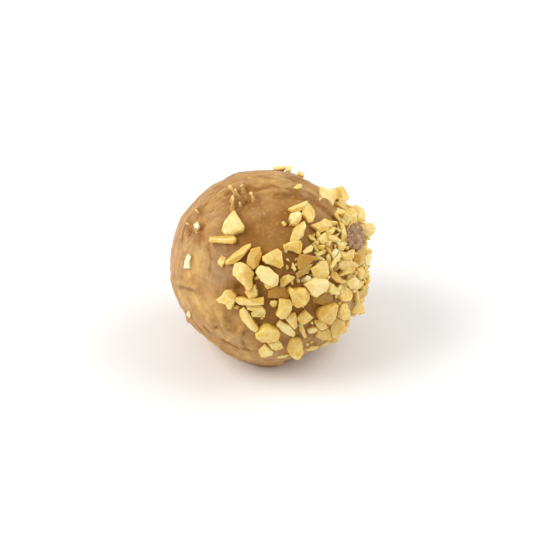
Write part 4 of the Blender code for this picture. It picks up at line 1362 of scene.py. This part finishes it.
def nut_material():
    """Ivory to gold by tone, darker in clouds and on some broken faces, with painted shade low on
    each piece, a painted glow near the outline, a painted highlight along the edges between breaks,
    painted glints, and amber for the darkest pieces. Some light goes in and comes out a millimetre
    on, as in a real nut.
    """
    shader = Shader("nuts")
    tone = shader.attribute("tone")
    golden = shader.mix(shader.attribute("warm"), OLIVE_GOLD, ORANGE_GOLD)
    amber = shader.mix(shader.attribute("warm"), OLIVE_AMBER, ORANGE_AMBER)
    light = shader.mix(shader.spread(tone, 0.0, 0.5), PALE, golden)
    depth = shader.spread(tone, 0.05, 0.35, 0.25, 1.0)
    cloud = shader.spread(shader.noise(CLOUD_SIZE, 3.0), 0.4, 0.62, 0.0, 0.75)
    light = shader.mix(shader.times(cloud, depth), light, CLOUD)
    shade = shader.times(shader.attribute("shade"), 0.6)
    light = shader.mix(shader.times(shade, depth), light, DARK_GOLD_AND_SHADE)
    # painted glow near the outline
    rim = shader.times(shader.attribute("rim"), 0.4)
    light = shader.mix(shader.times(rim, depth), light, GLOW)
    # painted highlight along the edges between breaks
    light = shader.mix(shader.times(shader.attribute("edge"), 0.4), light, EDGE_HIGHLIGHT)
    # painted glints
    glint = shader.spread(shader.noise(GLINT_SIZE, 2.0), 0.63, 0.72, 0.0, 0.5)
    light = shader.mix(glint, light, GLINT)
    # painted shade low on each piece
    light = shader.mix(shader.times(shader.attribute("low"), 0.5), light, DARK_GOLD_AND_SHADE)
    light = shader.mix(shader.spread(tone, -0.4, 0.0, 0.7, 0.0), light, WHITISH)
    colour = shader.mix(shader.spread(tone, 0.5, 1.0), light, amber)
    roughness = shader.spread(shader.noise(NUT_GLOSS_SIZE, 2.0), 0.3, 0.7, 0.16, 0.36)
    normal = shader.bump(shader.noise(DIMPLE_SIZE, 3.0), DIMPLE_DEPTH)
    shader.set(Base_Color=colour, Roughness=roughness, Normal=normal)
    shader.set(Subsurface_Weight=0.5, Subsurface_Scale=0.001, IOR=1.5)
    shader.principled.inputs["Subsurface Radius"].default_value = (1.0, 0.85, 0.5)
    return shader.material


nut_look = nut_material()
print("nut material:", len(nut_look.node_tree.nodes), "nodes")

# %% Skin material
SKIN_BROWN = linear(138, 100, 64)
SKIN_TAN = linear(192, 152, 104)
SKIN_SHADE = linear(112, 76, 40)
SKIN_DUST = linear(226, 200, 164)
# sizes and depths of the textures, in mm
SKIN_PATCH_SIZE, SKIN_DEPTH, DUST_SIZE = 0.7, 0.25, 0.25


def skin_material():
    """Two browns in patches, darker on some of the broken faces, with specks of pale dust."""
    shader = Shader("nut_skin")
    patch = shader.spread(shader.noise(SKIN_PATCH_SIZE, 4.0), 0.4, 0.62)
    colour = shader.mix(patch, SKIN_BROWN, SKIN_TAN)
    colour = shader.mix(shader.times(shader.attribute("shade"), 0.75), colour, SKIN_SHADE)
    dust = shader.spread(shader.noise(DUST_SIZE, 2.0), 0.62, 0.7, 0.0, 0.7)
    colour = shader.mix(dust, colour, SKIN_DUST)
    normal = shader.bump(shader.noise(SKIN_PATCH_SIZE, 4.0), SKIN_DEPTH)
    shader.set(Base_Color=colour, Roughness=0.5, Normal=normal)
    return shader.material


skin_look = skin_material()
print("skin material:", len(skin_look.node_tree.nodes), "nodes")

# %% [markdown]
# ## Building the pieces
# Numpy arrays go straight into a mesh with foreach_set, which takes a hundred thousand points in a
# blink. The numbers that the shaders read go in as float attributes on the points.


# %% Mesh from arrays
def new_piece(name, points, quads, material, numbers):
    """One smooth closed mesh at the origin, riding on the packed body and replacing its solid."""
    mesh = bpy.data.meshes.new(name)
    mesh.vertices.add(len(points))
    mesh.vertices.foreach_set("co", points.astype(np.float32).ravel())
    mesh.loops.add(quads.size)
    mesh.loops.foreach_set("vertex_index", quads.astype(np.int32).ravel())
    mesh.polygons.add(len(quads))
    mesh.polygons.foreach_set("loop_start", np.arange(0, quads.size, 4, dtype=np.int32))
    mesh.update(calc_edges=True)
    mesh.shade_smooth()
    for label, values in numbers.items():
        layer = mesh.attributes.new(label, "FLOAT", "POINT")
        layer.data.foreach_set("value", values.astype(np.float32))
    mesh.materials.append(material)
    made = bpy.data.objects.new(name, mesh)
    bpy.context.scene.collection.objects.link(made)
    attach(made, "root")
    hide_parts("truffle")
    print(name, len(points), "points,", 2 * len(quads), "triangles")
    return made


new_piece("coating", coating_points, coating_quads, chocolate, tones)

# %% [markdown]
# ### Making the nuts
# Each piece is a stack of rings, like a vase lying on the ball, so all pieces of a kind share one
# list of squares and need only their own points. The crown is pressed down to the lowest of the
# broken planes with a soft minimum, which leaves crisp edges without a modifier. Numbers stored on
# the points tell the shader what is an edge, what is deep, and which break a point lies on.


# %% Tubes of rings
def tube_quads(steps, sides):
    """The squares between neighbouring rings, and each end ring closed by folding it on itself:
    point k of the ring is joined to point k + 1 and to the two that face them.
    """
    ring, side = np.meshgrid(np.arange(steps - 1), np.arange(sides), indexing="ij")
    following = (side + 1) % sides
    walls = np.stack(
        (
            ring * sides + side,
            ring * sides + following,
            (ring + 1) * sides + following,
            (ring + 1) * sides + side,
        ),
        axis=-1,
    ).reshape(-1, 4)
    fold = np.arange(sides // 2 - 1)
    end = np.stack((fold, fold + 1, sides - 2 - fold, sides - 1 - fold), axis=-1)
    start = end[:, ::-1]
    return np.concatenate((walls, start, end + (steps - 1) * sides))


print(len(tube_quads(3, 4)), "squares in a tube of 3 rings of 4")

# %% The rings of a nut
# share of the outline, height as a share of half the thickness, from the underside to the crown
RINGS = np.array(
    (
        (0.2, -1.0),
        (0.75, -1.0),
        (0.93, -0.4),
        (1.0, 0.1),
        (0.985, 0.35),
        (0.965, 0.6),
        (0.945, 0.8),
        (0.915, 0.93),
        (0.86, 1.0),
        (0.79, 1.01),
        (0.7, 1.02),
        (0.58, 1.03),
        (0.45, 1.04),
        (0.31, 1.05),
        (0.16, 1.06),
    )
)
CROWN_SOFTNESS = 26.0
LEAST_CROWN = 0.1
EDGE_WIDTH = 0.08
SHADE_SPAN = (0.0, 0.8)
LOW_FROM = 0.55
RIM_START = 0.5
ROUGHNESS = 0.035
ROUGH_SIZE = 0.6
ROUGH_SEED = 300
MOST_ROUGH_THICK = 1.6
SEED_STEP = (7.3, 3.1, 0.0)
SKIN_ROUGHNESS = 0.09
GOLDEN_RATIO = 0.618
NUT_SIDES = 40
SKIN_SIDES = 2 * NUT_SIDES
CRUMB_RINGS = RINGS[[1, 3, 5, 8, 12]]
CRUMB_SIDES = 10
print("a nut has", len(RINGS) * NUT_SIDES, "points, a crumb", len(CRUMB_RINGS) * CRUMB_SIDES)


# %% One chopped piece
def chopped_piece(piece, sides, rings, roughness):
    """Points of a piece and four numbers on each: how near it is to an edge between breaks, how
    low it lies, the shade of its break, and how near it is to the outline.

    Heights are the soft minimum -log(sum(exp(-k h))) / k of the ring's height and the breaks'
    planes: near an edge the two lowest are met together.
    """
    outline = with_points_between(piece["corners"], sides)
    share, height = rings[:, :1, None], rings[:, 1:, None]
    flat = share * outline[None]
    spots = flat @ shape_axes(piece["corners"]).T
    planes = piece["breaks"]
    plane_heights = spots @ planes[:, :2].T + planes[:, 2]
    found = np.concatenate((np.broadcast_to(height, (*flat.shape[:2], 1)), plane_heights), axis=2)
    half = piece["thick"] / 2.0

    soft = -np.log(np.exp(-CROWN_SOFTNESS * found).sum(axis=2)) / CROWN_SOFTNESS
    upper = np.minimum(np.maximum(soft, LEAST_CROWN) * half, half)
    lower = height[..., 0] * (half + piece["sunk"])
    z = np.where(height[..., 0] < 0.0, lower, upper)
    points = np.concatenate((flat, z[..., None]), axis=2).reshape(-1, 3)

    ordered = np.sort(found, axis=2)
    edge = np.exp(-(ordered[..., 1] - ordered[..., 0]) / EDGE_WIDTH).reshape(-1)
    low = np.clip(LOW_FROM - points[:, 2] / piece["thick"], 0.0, 1.0)
    shades = np.random.default_rng(piece["seed"]).uniform(*SHADE_SPAN, found.shape[2])
    shades[0] = 0.0
    nearness = np.exp(-CROWN_SOFTNESS * (found - found.min(axis=2, keepdims=True)))
    shade = (nearness @ shades / nearness.sum(axis=2)).reshape(-1)
    rim = np.repeat(np.clip((rings[:, 0] - RIM_START) / (1.0 - RIM_START), 0.0, 1.0), sides)

    away = points + piece["seed"] * np.array(SEED_STEP)
    moves = [layered_noise(away, ROUGH_SIZE, ROUGH_SEED + axis) for axis in range(3)]
    reach = roughness * min(piece["thick"], MOST_ROUGH_THICK)
    return points + reach * np.stack(moves, axis=1), edge, low, shade, rim


one_nut = chopped_piece(nuts[0], NUT_SIDES, RINGS, ROUGHNESS)[0]
print("the first nut, in mm:", (one_nut.max(axis=0) - one_nut.min(axis=0)).round(1))


# %% Many pieces as one mesh
def joined(pieces, sides, rings, roughness=ROUGHNESS):
    """All the pieces' points, quads and numbers in one set."""
    points = []
    numbers = {name: [] for name in ("tone", "warm", "edge", "low", "shade", "rim")}
    for piece in pieces:
        shape, *values = chopped_piece(piece, sides, rings, roughness)
        points.append(shape @ piece["placement"][:3, :3].T + piece["placement"][:3, 3])
        warm = (piece["seed"] * GOLDEN_RATIO) % 1.0
        for name, value in zip(numbers, (piece["tone"], warm, *values)):
            numbers[name].append(np.broadcast_to(value, len(shape)))
    quads = tube_quads(len(rings), sides)
    starts = np.arange(len(pieces))[:, None, None] * len(points[0])
    numbers = {name: np.concatenate(values) for name, values in numbers.items()}
    return to_world(np.concatenate(points)), (quads[None] + starts).reshape(-1, 4), numbers


clean_nuts = nuts[:SKIN_ROW] + nuts[SKIN_ROW + 1 :]
points, quads, numbers = joined(clean_nuts, NUT_SIDES, RINGS)
new_piece("chopped_nuts", points, quads, nut_look, numbers)
points, quads, numbers = joined(crumbs, CRUMB_SIDES, CRUMB_RINGS)
new_piece("nut_crumbs", points, quads, nut_look, numbers)
points, quads, numbers = joined([nuts[SKIN_ROW]], SKIN_SIDES, RINGS, SKIN_ROUGHNESS)
new_piece("nut_skin", points, quads, skin_look, numbers)

# %% [markdown]
# ## Pulled threads
# Where the ball was lifted off, the chocolate drew out into points and short threads that fell
# back on the surface. Each is a tube that follows a few points on the face and narrows to a round
# tip.

# %% Threads
THREAD_STEPS = 24
THREAD_SIDES = 12
NECK_POWER = 3
DROP_PLACE, DROP_WIDTH = 0.86, 0.12
END_POWER = 12
LEAST_SHARE = 0.02


def curve_through(points, steps):
    """A smooth curve: each coordinate is the lowest power of t that passes through every point."""
    knots = np.linspace(0.0, 1.0, len(points))
    share = np.linspace(0.0, 1.0, steps)
    fits = [np.polyfit(knots, values, len(points) - 1) for values in np.transpose(points)]
    return np.stack([np.polyval(fit, share) for fit in fits], axis=1)


def thread(foot_radius, neck_radius, swelling, places):
    """A tube round a curve: neck + (foot - neck) x (1 - t)^3, and a bell that swells the tip."""
    path = []
    for right, up, lift in places:
        direction = unit(on_ball(right, up))
        path.append(direction * (coating_radius(direction[None])[0] + lift))
    line = curve_through(path, THREAD_STEPS)
    tangent = unit(np.gradient(line, axis=0))
    side = unit(np.cross(tangent, unit(line)))
    over = np.cross(side, tangent)
    share = np.linspace(0.0, 1.0, THREAD_STEPS)
    radius = neck_radius + (foot_radius - neck_radius) * (1.0 - share) ** NECK_POWER
    radius += swelling * bell(share - DROP_PLACE, DROP_WIDTH)
    radius *= np.sqrt(np.clip(1.0 - (2.0 * share - 1.0) ** END_POWER, 0.0, 1.0)) + LEAST_SHARE
    angle = np.linspace(0.0, 2.0 * math.pi, THREAD_SIDES, endpoint=False)[None, :, None]
    ring = np.cos(angle) * side[:, None] + np.sin(angle) * over[:, None]
    return (line[:, None] + radius[:, None, None] * ring).reshape(-1, 3)


print("a thread has", len(thread(*THREADS[0])), "points")

# %% The threads' mesh
# how creamy the foot is, with painted highlight growing to the tip, how much painted shade
# darkens the foot, how strong the painted highlight on the tip is, and how far it reaches
FOOT_CREAM, FOOT_SHADE, TIP_HIGHLIGHT, TIP_REACH = 0.4, 0.3, 0.8, 0.3
one_tube = tube_quads(THREAD_STEPS, THREAD_SIDES)
points = to_world(np.concatenate([thread(*row) for row in THREADS]))
starts = np.arange(len(THREADS))[:, None, None] * THREAD_STEPS * THREAD_SIDES
quads = (one_tube[None] + starts).reshape(-1, 4)
along = np.tile(np.repeat(np.linspace(0.0, 1.0, THREAD_STEPS), THREAD_SIDES), len(THREADS))
plain = np.zeros(len(along))
# creamier then painted highlight towards the tip, painted shade at the foot, painted highlight on
# the tip
thread_tones = {
    "cream": FOOT_CREAM + (1.0 - FOOT_CREAM) * along,
    "deep": FOOT_SHADE * (1.0 - along),
    "drop": TIP_HIGHLIGHT * bell(along - 1.0, TIP_REACH),
    "mauve": plain,
    "between": plain,
}
new_piece("pulled_threads", points, quads, chocolate, thread_tones)
